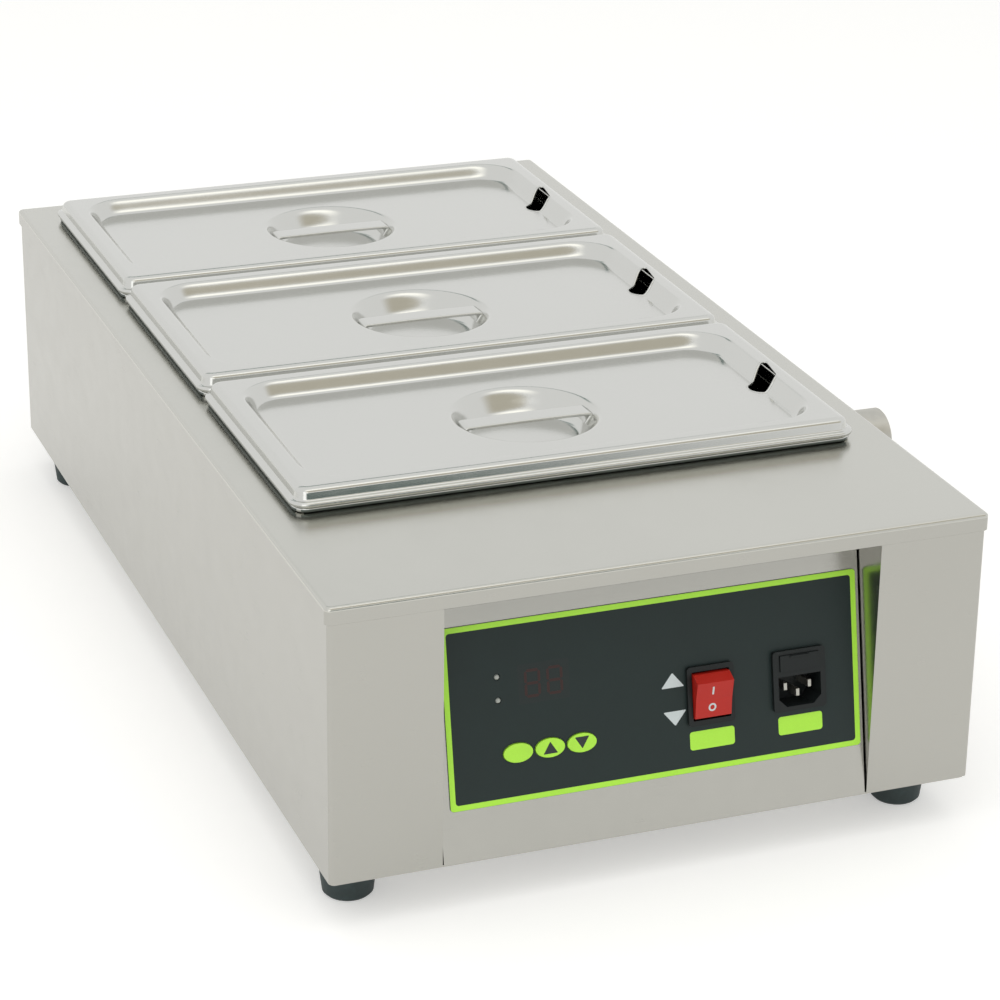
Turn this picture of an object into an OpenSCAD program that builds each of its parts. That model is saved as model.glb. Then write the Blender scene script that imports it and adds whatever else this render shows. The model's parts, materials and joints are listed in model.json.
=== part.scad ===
// Countertop chocolate melter: folded sheet body, three lift-out pans with drawn lids.
// Millimetres. X runs left to right, Y front to back, Z up. The feet stand on Z = 0.

/* [Main sizes] */
// Width of the top cover, left to right
cover_w = 365; // [340:1:400]
// Depth of the top cover, front to back
cover_d = 668; // [660:1:720]
// Height from the underside of the body to the top of the cover
body_h = 156; // [150:1:180]
// Thickness of the cover sheet
cover_t = 1.2; // [1:0.1:1.6]
// Height of the cover's folded lip
lip_h = 9.5; // [8:0.5:12]
// Outer radius of the cover's folds
fold_r = 2.2; // [1.8:0.1:3]
// Thickness of the body sheet
sheet_t = 1; // [0.8:0.1:1.2]
// Gap between the cover's lip and the body
lip_gap = 0.1; // [0.05:0.05:0.3]
// Chamfer along the body's upper edge, inside the cover's fold
shell_edge = 0.95; // [0.9:0.05:1]
// Width of the body's folded flanges at the top
shell_top_flange = 8; // [6:0.5:9]
// Width of the body's folded flanges at the bottom
shell_low_flange = 16; // [14:1:20]

/* [Front] */
// Half the width of the recess between the front pillars
recess_half = 120.5; // [115:0.5:124]
// Depth of the recess's side walls
recess_depth = 44; // [42:1:50]
// How far the panel leans back for each unit of height
lean_share = 0.2; // [0.15:0.01:0.22]
// Gap between the panel's edges and the recess's side walls
panel_gap = 0.8; // [0.4:0.1:1.2]
// Depth of the panel's folded top and bottom flanges
panel_flange = 16; // [12:1:18]
// Depth of the panel's folded side flanges
panel_side = 9; // [6:1:12]
// Overlay's left edge, in from the panel's edge
overlay_left_in = 5.2; // [3:0.1:8]
// Overlay's right edge, in from the panel's edge
overlay_right_in = 1.7; // [1:0.1:8]
// Overlay's lower edge, up the panel
overlay_low = 28.8; // [25:0.5:35]
// Overlay's upper edge, up the panel
overlay_high = 125.6; // [120:0.5:130]
// Overlay thickness
overlay_t = 0.6; // [0.4:0.1:1]
// Overlay corner radius
overlay_r = 2; // [1:0.5:4]

/* [Display and keys] */
// Display middle, from the middle of the panel
display_x = -60; // [-64:0.5:-56]
// Display middle, up the panel
display_v = 90.5; // [86:0.5:94]
// Display window width
window_w = 28; // [24:0.5:32]
// Display window height
window_h = 21; // [18:0.5:24]
// Lamps, from the middle of the panel
lamp_x = -85.3; // [-90:0.1:-80]
// Upper lamp, up the panel
lamp_high = 96.3; // [94:0.1:100]
// Lower lamp, up the panel
lamp_low = 83.9; // [80:0.1:88]
// Lamp radius
lamp_r = 1.5; // [1.2:0.1:2]
// Middle key, from the middle of the panel
key_x = -58.7; // [-62:0.1:-56]
// Keys, up the panel
key_v = 55; // [52:0.5:58]
// Spacing of the keys
key_pitch = 17.6; // [17:0.1:20]
// Width of an oval key
key_w = 16; // [14:0.1:16.4]
// Height of an oval key over its width
key_high_share = 0.63; // [0.5:0.01:0.8]
// How far a key stands out of the overlay
key_out = 1; // [0.6:0.1:2]
// How far a key can be pressed in
key_travel = 0.5; // [0.3:0.1:0.8]

/* [Switch] */
// Switch middle, from the middle of the panel
switch_x = 31.8; // [28:0.1:36]
// Switch middle, up the panel
switch_v = 70.1; // [68:0.1:74]
// Width of the switch's frame
switch_w = 26.5; // [25:0.5:28]
// Height of the switch's frame
switch_h = 32; // [30:0.5:34]
// Thickness of the switch's frame
switch_t = 2.2; // [1.8:0.1:3]
// Depth of the switch's housing behind the panel
switch_deep = 24; // [20:1:28]
// Width of the rocker
rocker_w = 20.6; // [18:0.1:21]
// Half the length of the rocker's face
rocker_half = 10.3; // [9:0.1:11]
// Angle of the rocker's face at rest
rocker_tilt = 15; // [12:0.5:16]

/* [Inlet] */
// Inlet middle, from the middle of the panel
inlet_x = 82.6; // [80:0.1:86]
// Inlet middle, up the panel
inlet_v = 70.8; // [68:0.1:74]
// Width of the inlet's frame
inlet_w = 30.3; // [29:0.1:32]
// Height of the inlet's frame
inlet_h = 33; // [32:0.1:35]
// Thickness of the inlet's frame
inlet_t = 2.5; // [2:0.1:3]
// Depth of the inlet's housing behind the panel
inlet_deep = 25; // [24:1:30]
// Socket width
socket_w = 24.4; // [24:0.1:25]
// Socket height
socket_h = 16.6; // [16:0.1:17]
// Socket depth
socket_deep = 17; // [16:0.5:18]
// Corner cut of the socket
socket_cut = 4.4; // [4:0.1:5]
// Width of a pin
pin_w = 4; // [3.8:0.1:4.2]
// Thickness of a pin
pin_t = 2; // [1.8:0.1:2.2]
// Spacing of the two upper pins
pin_pitch = 14; // [13.5:0.1:14.5]
// How far the middle pin sits below the others
pin_drop = 4; // [3.5:0.1:4.5]
// Fuse drawer width
drawer_w = 22.4; // [21:0.1:24]
// Fuse drawer height
drawer_h = 8.6; // [8:0.1:9]
// Fuse drawer depth
drawer_deep = 20; // [18:0.5:22]
// Fuse radius
fuse_r = 2.5; // [2.4:0.1:2.6]
// Fuse length
fuse_len = 20; // [19:0.5:20.5]

/* [Feet] */
// Height of a foot
foot_h = 26; // [20:1:30]
// Foot radius at the floor
foot_low_r = 13.6; // [12:0.1:15]
// Foot radius at the body
foot_high_r = 16.4; // [14:0.1:18]
// Foot middle, from the cover's side
foot_in = 23.5; // [22:0.5:30]
// Front feet, from the front
foot_front_y = 40; // [36:1:50]
// Rear feet, from the rear
foot_rear_y = 40; // [36:1:50]
// Foot screw radius
foot_screw_r = 3; // [2.5:0.1:3.5]

/* [Pans] */
// Width of the deck left and right of the pans
side_deck = 20; // [16:0.5:24]
// Depth of the deck in front of the pans
front_deck = 113.5; // [108:0.5:118]
// Gap between two pans' rims
pan_gap = 0.5; // [0.4:0.1:2]
// Depth of the deck behind the pans
rear_deck = 25.5; // [24:0.5:30]
// Sideways place of the row of pans
pans_x = -1; // [-3:0.5:3]
// Depth of a pan below its rim
pan_deep = 100; // [65:5:105]
// Pan sheet thickness
pan_t = 0.8; // [0.6:0.1:1]
// Radius of the rolled rim
rim_r = 1.6; // [1.4:0.1:2]
// Outer corner radius of the rim
rim_corner_r = 10; // [8:0.5:12]
// Inset of the pan's wall from the rim's edge
pan_inset = 11.5; // [11:0.5:13]
// Corner radius of the pan's wall at the top
tub_r = 30; // [28:1:32]
// How far the pan's wall slopes in, top to bottom
tub_taper = 7; // [5:0.5:8]
// Radius between the pan's wall and its floor
tub_low_r = 13; // [10:1:15]
// Radius between the pan's rim and its wall
tub_high_r = 3; // [2:0.5:4]
// Gap around a pan in the cover's opening
hole_gap = 2; // [1.5:0.5:3]

/* [Lids] */
// Height of a lid's raised ring over the cover
lid_up = 13; // [12:0.5:15]
// Width of the narrow flange outside the raised wall
lid_flange = 3; // [2.8:0.1:4]
// How far the raised wall slopes in
lid_wall_in = 1.5; // [1:0.1:2.5]
// Radius along the top of the raised wall
lid_round = 2; // [1.5:0.1:3]
// Width of the raised ring, from the rim's edge to the recess
lid_ring = 13.5; // [12:0.5:16]
// Corner radius of the recess
recess_r = 27; // [24:1:30]
// Depth of the recess
recess_deep = 8.6; // [8:0.1:10]
// Width of the recess's curved wall
recess_wall = 9; // [8:0.5:12]
// Radius of the round dish
dish_r = 43; // [40:0.5:46]
// Depth of the round dish under the recess's floor
dish_deep = 13; // [11:0.5:15]
// Width of the dish's curved wall
dish_wall = 13; // [11:0.5:15]
// Width of the strap handle
strap_w = 13; // [11:0.5:15]
// Thickness of the strap handle
strap_t = 2; // [1.5:0.1:2.5]
// How far the strap's middle sits under the recess's floor
strap_down = 1.4; // [1:0.1:3]
// Radius of the notch's round end
notch_r = 10.5; // [9:0.5:13]
// Notch's round end, from the rim's right edge
notch_in = 17.5; // [16.5:0.5:22]
// Notch's round end, toward the front of the lid's middle
notch_front = 3; // [0:0.5:8]
// Radius of the notch's narrow end
notch_tip_r = 3.4; // [3:0.1:5]
// Notch's narrow end, from the rim's right edge
notch_tip_in = 8.5; // [8:0.5:10]
// Notch's narrow end, toward the rear of the lid's middle
notch_tip_back = 8.5; // [4:0.5:12]

/* [Water tank] */
// Gap between a pan's wall and the tank's side, at the top
tank_side_gap = 7; // [5:0.5:8]
// Tank's front wall, inner face, from the front
tank_front = 117; // [115:1:120]
// Tank's rear wall, inner face, from the rear of the cover
tank_rear_in = 28; // [24:1:32]
// Height of the tank's floor over the bottom plate
tank_up = 11; // [8:1:14]
// Tank flange width
tank_flange = 12; // [10:0.5:13]
// Tank corner radius
tank_r = 20; // [15:1:25]
// Stud radius
stud_r = 2; // [1.5:0.1:2.5]
// Stud length under the cover
stud_len = 9; // [8:0.5:12]

/* [Heating] */
// Heating tube radius
heat_r = 4; // [3:0.1:5]
// Half the spacing of the heating tube's legs
heat_half = 62; // [50:1:75]
// Height of the heating tube over the tank's floor
heat_up = 12; // [10:1:16]
// Rear end of the heating tube's straight legs, from the tank's rear wall
heat_rear_in = 100; // [80:1:140]
// Probe radius
probe_r = 3; // [2:0.1:4]
// Probe length inside the tank
probe_in = 60; // [40:1:80]
// Probe's middle, under the pans
probe_down = 16; // [10:1:18]
// Probe's sideways place
probe_x = 4; // [-10:1:10]

/* [Stub] */
// Height of the stub over the body's underside
stub_up = 122; // [118:0.5:126]
// Stub's place, from the front
stub_y = 194; // [185:0.5:205]
// Stub's reach out of the body's wall
stub_out = 36.8; // [34:0.1:42]
// Radius of the stub's cap
cap_r = 16.5; // [15:0.1:18]
// Length of the cap
cap_len = 23; // [18:0.5:26]
// Radius of the stub's pipe
pipe_r = 10; // [9:0.1:11]
// Wall of the stub's pipe
pipe_wall = 2.4; // [2:0.1:3]

/* [Wiring] */
// Radius of a thin wire
wire_r = 1.1; // [0.9:0.1:1.4]
// Radius of a mains wire
mains_r = 1.6; // [1.4:0.1:2]
// First run of wires behind the blades
wire_back = 9; // [8:0.5:12]
// Distance from one run of wires to the next
wire_step = 4.5; // [4:0.5:6]
// Wall of a push-on boot
boot_wall = 1.5; // [1:0.1:2]
// How far a boot covers a blade
boot_on = 6; // [4:0.5:7]
// How far a boot stands past a blade's end
boot_off = 4; // [3:0.5:6]
// Radius of a ring tag
tag_r = 5.5; // [5:0.1:7]
// Thickness of a ring tag
tag_t = 1; // [0.8:0.1:1.5]
// How far in front of the tank the heater's tags sit
heat_tag_out = 21.5; // [20:0.5:24]
// Number of flat sides round a wire
wire_sides = 8; // [8:1:12]

/* [Fixings] */
// Thickness of the bottom plate
plate_t = 1.2; // [1:0.1:2]
// Inset of the bottom plate's edge from the body
plate_inset = 1.2; // [0.8:0.1:2]
// Radius of a body screw
screw_r = 2; // [1.5:0.1:2.5]
// Radius of a body screw's head
screw_head_r = 3.8; // [3:0.1:4.5]
// Height of a body screw's head
screw_head_h = 2.2; // [1.8:0.1:3]
// Length of a body screw under its head
screw_len = 8; // [6:0.5:12]
// Width of a small nut across its flats
nut_af = 7; // [5.5:0.1:8]
// Thickness of a small nut
nut_h = 3.2; // [2.4:0.1:4]
// Width of a foot's nut across its flats
foot_nut_af = 10; // [9:0.5:13]
// Thickness of a foot's nut
foot_nut_h = 5; // [4:0.5:6]
// Width of a fitting's nut across its flats
fitting_af = 17; // [14:0.5:19]
// Thickness of a fitting's nut
fitting_h = 5; // [4:0.5:7]
// Width of the stub's locknut across its flats
lock_af = 27; // [24:0.5:30]
// Thickness of the stub's locknut
lock_h = 6; // [4:0.5:8]
// Thickness of a seal
seal_t = 2; // [1:0.1:3]

/* [Control board] */
// Board's left edge, from the middle of the panel
board_left = -106; // [-110:0.5:-104]
// Board's right edge, from the middle of the panel
board_right = -20; // [-24:0.5:-16]
// Board's lower edge, up the panel
board_low = 40; // [36:0.5:44]
// Board's upper edge, up the panel
board_high = 112; // [108:0.5:116]
// Board thickness
board_t = 1.6; // [1.2:0.1:2]
// Distance from the panel's back to the board
board_back = 10.4; // [9:0.1:12]
// Inset of the board's fixings from its corners
board_fix = 4; // [3.5:0.1:5]
// Radius of a spacer
spacer_r = 2.6; // [2:0.1:3]
// Radius of a spacer's stud
spacer_stud_r = 1.5; // [1.2:0.1:1.6]

/* [More sizes] */
// Sideways place of the rear screws
cover_screw_x = 120; // [80:1:140]
// Rear screws under the cover's top
cover_screw_down = 5.5; // [5:0.1:6]
// Gap round the stub's pipe in the body wall
stub_clear = 2; // [1:0.5:3]
// Number of upright slots in the right wall
vent_count = 7; // [3:1:8]
// Spacing of the upright slots
vent_pitch = 9; // [7:0.5:10]
// Width of a slot
vent_w = 4; // [3:0.5:5]
// Height of an upright slot
vent_h = 60; // [30:1:70]
// Middle of the row of upright slots, from the front
vent_y = 62; // [50:1:70]
// Lower end of the upright slots, from the floor
vent_z = 70; // [60:1:90]
// Body screws in from the body's side
screw_in = 9; // [8:0.5:10]
// Rear body screws, from the middle
screw_rear_x = 60; // [40:1:90]
// Panel screws, from the middle
screw_panel_x = 60; // [40:1:100]
// Panel screws, from the front
screw_panel_y = 11; // [9:0.5:12]
// Number of slots in a group in the bottom plate
low_vent_count = 9; // [5:1:11]
// Spacing of the slots in the bottom plate
low_vent_pitch = 14; // [10:1:18]
// Length of a slot in the bottom plate
low_vent_long = 40; // [20:1:50]
// Front group of slots, from the front
low_vent_y = 56; // [50:1:70]
// Rear group of slots, from the rear
low_vent_rear_in = 108; // [68:1:168]
// Chamfer of a foot's edges
foot_edge = 1.6; // [1:0.1:2.5]
// Radius of the hole under a foot
foot_cup_r = 6.5; // [6:0.1:7]
// Depth of the hole under a foot
foot_cup_h = 12; // [10:0.5:14]
// Radius of a foot screw's head
foot_head_r = 5.4; // [5:0.1:6]
// Height of a foot screw's head
foot_head_h = 4; // [3:0.1:5]
// How far a foot screw stands over its nut
foot_screw_over = 2; // [1:0.5:3]
// Lower end of the panel's side flanges, up the panel
panel_side_low = 6; // [4:0.5:10]
// Upper end of the panel's side flanges, up the panel
panel_side_high = 150; // [140:1:152]
// How much narrower a housing is than its frame
switch_edge = 3; // [2.5:0.1:4]
// How much narrower the inlet's housing is than its frame
inlet_edge = 3; // [2.5:0.1:4]
// Gap round a lamp
lamp_gap = 0.2; // [0.1:0.05:0.4]
// Gap round a key
key_gap = 0.35; // [0.3:0.05:0.4]
// Depth of the display module
display_deep = 7; // [6:0.1:7.5]
// Width of the display module
display_w = 25; // [22:0.5:27]
// Height of the display module
display_h = 19; // [17:0.5:20]
// Radius of a lamp's leads
lead_r = 0.35; // [0.3:0.05:0.5]
// Lamp body behind the panel's face
lamp_low_z = -5; // [-6:0.1:-4]
// Middle of a lamp's round end, from the panel's face
lamp_top_z = -0.3; // [-0.6:0.1:0]
// Play between a key's foot and the panel
key_slack = 0.05; // [0.02:0.01:0.1]
// Thickness of a key's foot
key_foot_t = 1; // [0.8:0.1:1.5]
// How much wider a key's foot is than its head, each side
key_foot_w = 0.65; // [0.5:0.05:0.7]
// Radius of a key's stem
key_stem_r = 1.8; // [1.5:0.1:2.5]
// Gap between a pressed key and the switch behind it
key_low_gap = 0.2; // [0.1:0.05:0.4]
// Thickness of a spacer's nut
board_nut_h = 2.4; // [2:0.1:3]
// Width of a spacer's nut across its flats
board_nut_af = 5.5; // [5:0.1:6]
// Side of a tact switch
tact_w = 6; // [5:0.5:7]
// Height of a tact switch's body
tact_h = 3.6; // [3:0.1:4]
// Height of a tact switch's button
tact_top_h = 1.3; // [0.8:0.1:1.6]
// Radius of a tact switch's button
tact_top_r = 1.7; // [1.4:0.1:2]
// Relay's sideways place
relay_x = -84; // [-90:1:-80]
// Relay's place up the panel
relay_v = 94; // [90:1:100]
// Relay width
relay_w = 19; // [15:0.5:22]
// Relay height
relay_h = 15.4; // [12:0.1:18]
// Relay depth
relay_deep = 15.6; // [12:0.1:18]
// Transformer's sideways place
coil_x = -46; // [-50:1:-42]
// Transformer's place up the panel
coil_v = 86; // [80:1:90]
// Transformer width
coil_w = 34; // [28:1:38]
// Transformer height
coil_h = 28; // [24:1:32]
// Transformer depth
coil_deep = 24; // [20:1:28]
// Step of the transformer's core
coil_lip = 3; // [2:0.5:4]
// Terminal block's sideways place
clamp_x = -58; // [-64:1:-50]
// Terminal block's place up the panel
clamp_v = 51; // [48:1:54]
// Terminal block width
clamp_w = 46; // [40:1:50]
// Terminal block height
clamp_h = 9; // [8:0.5:11]
// Terminal block depth
clamp_deep = 11; // [9:0.5:13]
// Number of clamps
clamp_count = 6; // [4:1:6]
// Spacing of the clamps
clamp_pitch = 7.5; // [7:0.1:8]
// Depth of a clamp's hole
clamp_hole_h = 5; // [4:0.5:6]
// Capacitor's sideways place
cap_x = -96; // [-99:1:-90]
// Capacitor's place up the panel
cap_v = 64; // [58:1:70]
// Capacitor height
tin_h = 13; // [10:1:16]
// Capacitor radius
tin_r = 5; // [4:0.5:6]
// Depth of the switch's hollow behind the panel
switch_cup = 13; // [12:0.5:15]
// Gap beside the rocker
rocker_gap = 0.35; // [0.2:0.05:0.5]
// Half the height of the switch's hollow
rocker_room = 13.2; // [13:0.1:14]
// How far an axle end sits in the housing
axle_in = 0.9; // [0.6:0.1:1]
// Axle radius
axle_r = 1.5; // [1.2:0.1:2]
// Play round the axle
axle_gap = 0.1; // [0.05:0.01:0.1]
// Height of the rocker's ends over its axle
rocker_high = 6.6; // [5:0.1:8]
// Height of the rocker's middle over its axle
rocker_mid = 5.9; // [5:0.1:7]
// Half the length of the rocker at its widest
rocker_end = 12.6; // [12:0.1:12.8]
// Height of the rocker's widest edge over its axle
rocker_edge = 0.5; // [0:0.1:1]
// Half the length of the rocker's skirt
rocker_low_half = 11.5; // [11:0.1:12]
// Depth of the rocker's skirt
rocker_skirt = 4; // [3:0.1:5]
// Half the length of the rocker's hub
rocker_hub = 4; // [3:0.1:5]
// Depth of the rocker's hub
rocker_deep = 7; // [6:0.1:8]
// Sideways place of a switch blade
blade_x = 5; // [4:0.5:7]
// Up and down place of a switch blade
blade_v = 8; // [6:0.5:10]
// Blade thickness
blade_t = 0.8; // [0.6:0.1:1]
// Blade width
blade_w = 6.3; // [4:0.1:6.5]
// How far a blade stands out
blade_out = 8; // [6:0.5:9]
// Inlet's wall round its socket and drawer
inlet_wall = 2.4; // [2:0.1:3]
// How far the upper pins sit over the socket's middle
pin_up = 2; // [1:0.1:3]
// How far the pins stop short of the socket's mouth
pin_short = 3; // [2:0.1:4]
// Gap round the fuse drawer
drawer_gap = 0.15; // [0.1:0.05:0.3]
// Thickness of the fuse drawer's front lip
drawer_lip = 0.8; // [0.6:0.1:1.2]
// How far the heating tube's ends stand out of the tank
heat_out = 18; // [14:1:22]
// Length of a heating stud
heat_stud_len = 9; // [7:0.5:12]
// Radius of a heating stud
heat_stud_r = 2; // [1.5:0.1:2.2]
// Heating tube's rests, as shares of its straight legs
rest_share = [0.29, 0.76];
// Width of a rest
rest_w = 16; // [12:1:20]
// Thickness of a rest
rest_t = 1.5; // [1:0.1:2]
// Length of a rest's foot
rest_foot = 12; // [8:1:16]
// How far the probe stands out of the tank
probe_out = 20; // [15:1:24]
// Cut-out's sideways place
cutout_x = 100; // [90:1:120]
// Cut-out's height from the floor
cutout_z = 84; // [70:1:110]
// Cut-out radius
cutout_r = 8; // [7:0.5:9]
// Cut-out depth
cutout_deep = 7; // [5:0.5:9]
// Half the length of the cut-out's ears
cutout_ear = 15; // [13:0.5:17]
// Radius of a cut-out screw
cutout_screw_r = 1.5; // [1.2:0.1:1.8]
// Earth stud's sideways place
earth_x = 100; // [90:1:110]
// Earth stud's place, from the front
earth_y = 84; // [76:1:90]
// Earth stud length
earth_len = 14; // [10:0.5:18]
// Radius of the stub's flanges
pipe_flange_r = 15; // [14:0.1:16]
// Thickness of the cap's end
cap_end = 4; // [3:0.5:5]
// Gap between the pipe's end and the cap
cap_slack = 0.5; // [0.3:0.1:1]
// Gap round the pipe in the cap
cap_gap = 0.3; // [0.2:0.05:0.5]
// Chamfer of the cap's edges
cap_edge = 1; // [0.5:0.1:1.5]

// Body screws along each side, as shares of the body's depth
screw_side_share = [0.11, 0.37, 0.63, 0.9];

/* [Show] */
// Which piece to show

/* [Hidden] */
$fn = 64;
// Overrun for cuts
cut = 2;
// Steps in a curved bend and in a drawn wall
bend_steps = 5;
wall_steps = 8;
// Flat run at each end of a bend, so that the next sheet meets a square edge
lead = 1;
pan_count = 3;
steel = [0.78, 0.78, 0.76];
dark = [0.18, 0.22, 0.22];
black = [0.06, 0.07, 0.07];
green = [0.65, 0.92, 0.28];
red = [0.78, 0.16, 0.12];
brass = [0.8, 0.65, 0.3];
board_green = [0.1, 0.35, 0.2];
grey = [0.45, 0.46, 0.46];
white = [0.9, 0.9, 0.88];
blue = [0.2, 0.3, 0.6];
brown = [0.4, 0.22, 0.12];
yellow_green = [0.6, 0.7, 0.15];

// Heights
base_z = foot_h;
plate_z = base_z + plate_t;
top_z = foot_h + body_h;
under_z = top_z - cover_t;
floor_z = plate_z + tank_up + sheet_t;
heat_z = floor_z + heat_up;
stub_z = base_z + stub_up;
rim_top = top_z + 2 * rim_r;

// The row of pans
pan_w = cover_w - 2 * side_deck;
pan_d = (cover_d - front_deck - rear_deck + pan_gap) / pan_count - pan_gap;
pan_pitch = pan_d + pan_gap;
pan_y = front_deck + pan_d / 2;

// Body
shell_y0 = cover_t + lip_gap;
shell_w = cover_w - 2 * shell_y0;
shell_d = cover_d - 2 * shell_y0;
shell_half = shell_w / 2;
cover_r = fold_r + lead;
shell_r = fold_r;
mid_y = cover_d / 2;
lean_a = atan(lean_share);
panel_half = recess_half - panel_gap;
overlay_left = overlay_left_in - panel_half;
overlay_right = panel_half - overlay_right_in;
foot_x = cover_w / 2 - foot_in;
screw_end_x = (recess_half + sheet_t + shell_half) / 2;
stub_reach = shell_half + stub_out;
face_w = overlay_t;
board_z = -sheet_t - board_back;
key_stem_z = board_z + tact_h + tact_top_h + key_travel + key_low_gap;
socket_v = inlet_v - inlet_h / 2 + inlet_wall + socket_h / 2;
drawer_v = inlet_v + inlet_h / 2 - inlet_wall - drawer_h / 2;
drawer_z = face_w + inlet_t;
fuse_z = drawer_z - drawer_deep / 2;
heat_front = tank_front - sheet_t - heat_out;
blade_end = -switch_deep - blade_out;
pin_end = -inlet_deep - blade_out;
clamp_end = board_z - board_t - clamp_deep + clamp_hole_h;
heat_tag_y = tank_front - heat_tag_out;
earth_tag_z = plate_z + nut_h;
probe_end = tank_front - sheet_t - probe_out;
cutout_end = tank_front - sheet_t - cutout_deep - blade_out;

// Turns of the wires between the panel and the tank
earth_turn_z = 31;
cutout_near_y = 90;
cutout_far_y = 86;
heat_turn_z = 62;
heat_left_x = -77;
probe_turn_y = [86, 82];

// Tank
tank_half = pan_w / 2 - pan_inset + tank_side_gap;
tank_rear = cover_d - tank_rear_in;
heat_rear = tank_rear - heat_rear_in;
tank_mid_y = (tank_front + tank_rear) / 2;
tank_long = tank_rear - tank_front;
stud_x = tank_half + sheet_t + tank_flange / 2;
stud_inset = 2 * tank_r;
stud_count = 4;

// Pans and lids
tub_w = pan_w - 2 * pan_inset;
tub_d = pan_d - 2 * pan_inset;
tub_low_c = tub_r - tub_taper - tub_low_r;
tub_out = tub_high_r + lead;
tub_floor_in = tub_r - tub_low_c + lead;
pan_low = rim_top - pan_deep;
probe_z = pan_low - probe_down;
ring_z = top_z + lid_up;
recess_w = pan_w - 2 * lid_ring;
recess_d = pan_d - 2 * lid_ring;
recess_z = ring_z - recess_deep;
ring_in = lid_flange + lid_wall_in + lid_round + lead;
ring_corner = rim_corner_r - ring_in;
recess_floor_in = recess_wall + lead;
notch_x = pan_w / 2 - notch_in;
notch_tip_x = pan_w / 2 - notch_tip_in;

// The whole part is moved so that its middle sits over the frame's origin
mid_x = (stub_reach - cover_w / 2) / 2;
shift_y = (cover_d + screw_head_h) / 2;

function turn_of(p, i) = let(d = p[i + 1] - p[i]) [-d[1], d[0]] / norm(d);
function mitre(p, i) =
  i == 0 ? turn_of(p, 0) :
  i == len(p) - 1 ? turn_of(p, i - 1) :
  let(a = turn_of(p, i - 1), b = turn_of(p, i)) (a + b) / (1 + a * b);
function ribbon(p, t) = concat(p, [for (i = [len(p) - 1:-1:0]) p[i] + t * mitre(p, i)]);
function arc(c, r, a0, a1) =
  [for (k = [0:bend_steps]) let(a = a0 + (a1 - a0) * k / bend_steps) c + r * [cos(a), sin(a)]];
function curve(x, z, wide, deep) =
  [for (k = [0:wall_steps]) [x - wide * k / wall_steps, z - deep * (1 - cos(180 * k / wall_steps)) / 2]];
function drawn(x, z, wide, deep) = concat([[x + lead, z]], curve(x, z, wide, deep),
  [[x - wide - lead, z - deep]]);
function panel_y(z) = shell_y0 + lean_share * (z - base_z);
function pan_mid(i) = pan_y + i * pan_pitch;
// Places given in the panel's own frame, and the runs of wires behind it
function spot(x, v, w) =
  [x, shell_y0 + v * sin(lean_a) - w * cos(lean_a), base_z + v * cos(lean_a) + w * sin(lean_a)];
function run(k) = pin_end - wire_back - k * wire_step;
function blade_at(i, j, w) = spot(switch_x + i * blade_x, switch_v + j * blade_v, w);
function pin_at(i, w) = spot(inlet_x + i * pin_pitch / 2, socket_v + pin_up - (i == 0 ? pin_drop : 0), w);
function clamp_at(k, w) = spot(clamp_x + clamp_pitch * (k - (clamp_count - 1) / 2), clamp_v, w);
function heat_at(i, z) = [i * heat_half, heat_tag_y + tag_t / 2, z];
function cutout_at(i, y) = [cutout_x + i * cutout_r / 2, y, cutout_z];

module placed() {
  translate([-mid_x, -shift_y, 0]) children();
}

// A flat outline with round corners
module outline(w, d, r) {
  square([w - 2 * r, d], center = true);
  square([w, d - 2 * r], center = true);
  for (x = [-1, 1], y = [-1, 1]) translate([x * (w / 2 - r), y * (d / 2 - r)]) circle(r);
}

// Carries a section round a rectangle with corners of radius r
module around(w, d, r) {
  for (k = [0:3]) {
    x = k == 0 || k == 3 ? 1 : -1;
    y = k < 2 ? 1 : -1;
    translate([x * (w / 2 - r), y * (d / 2 - r), 0]) rotate([0, 0, 90 * k]) rotate_extrude(angle = 90)
      children();
  }
  for (k = [0, 1]) {
    rotate([0, 0, 180 * k]) translate([w / 2 - r, 0, 0]) rotate([90, 0, 0])
      linear_extrude(height = d - 2 * r, center = true) children();
    rotate([0, 0, 180 * k + 90]) translate([d / 2 - r, 0, 0]) rotate([90, 0, 0])
      linear_extrude(height = w - 2 * r, center = true) children();
  }
}

module hexagon(af, h) {
  intersection_for (a = [0, 60, 120]) rotate([0, 0, a]) cube([af, 2 * af, 2 * h], center = true);
}

// A hexagon nut on the Z axis, from 0 up to h, with a bore of radius r
module nut(af, h, r) {
  difference() {
    intersection() {
      hexagon(af, h);
      translate([-af, -af, 0]) cube([2 * af, 2 * af, h]);
    }
    translate([0, 0, -cut]) cylinder(h = h + 2 * cut, r = r);
  }
}

module ring(r, bore, h) {
  difference() {
    cylinder(h = h, r = r);
    translate([0, 0, -cut]) cylinder(h = h + 2 * cut, r = bore);
  }
}

// The panel's own frame: X across, Y up the panel, Z out of it, from the panel's outer face
module on_panel() {
  translate([0, shell_y0, base_z]) rotate([90 - lean_a, 0, 0]) children();
}

module block(x, y, z0, z1, w, h) {
  translate([x - w / 2, y - h / 2, z0]) cube([w, h, z1 - z0]);
}

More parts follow.
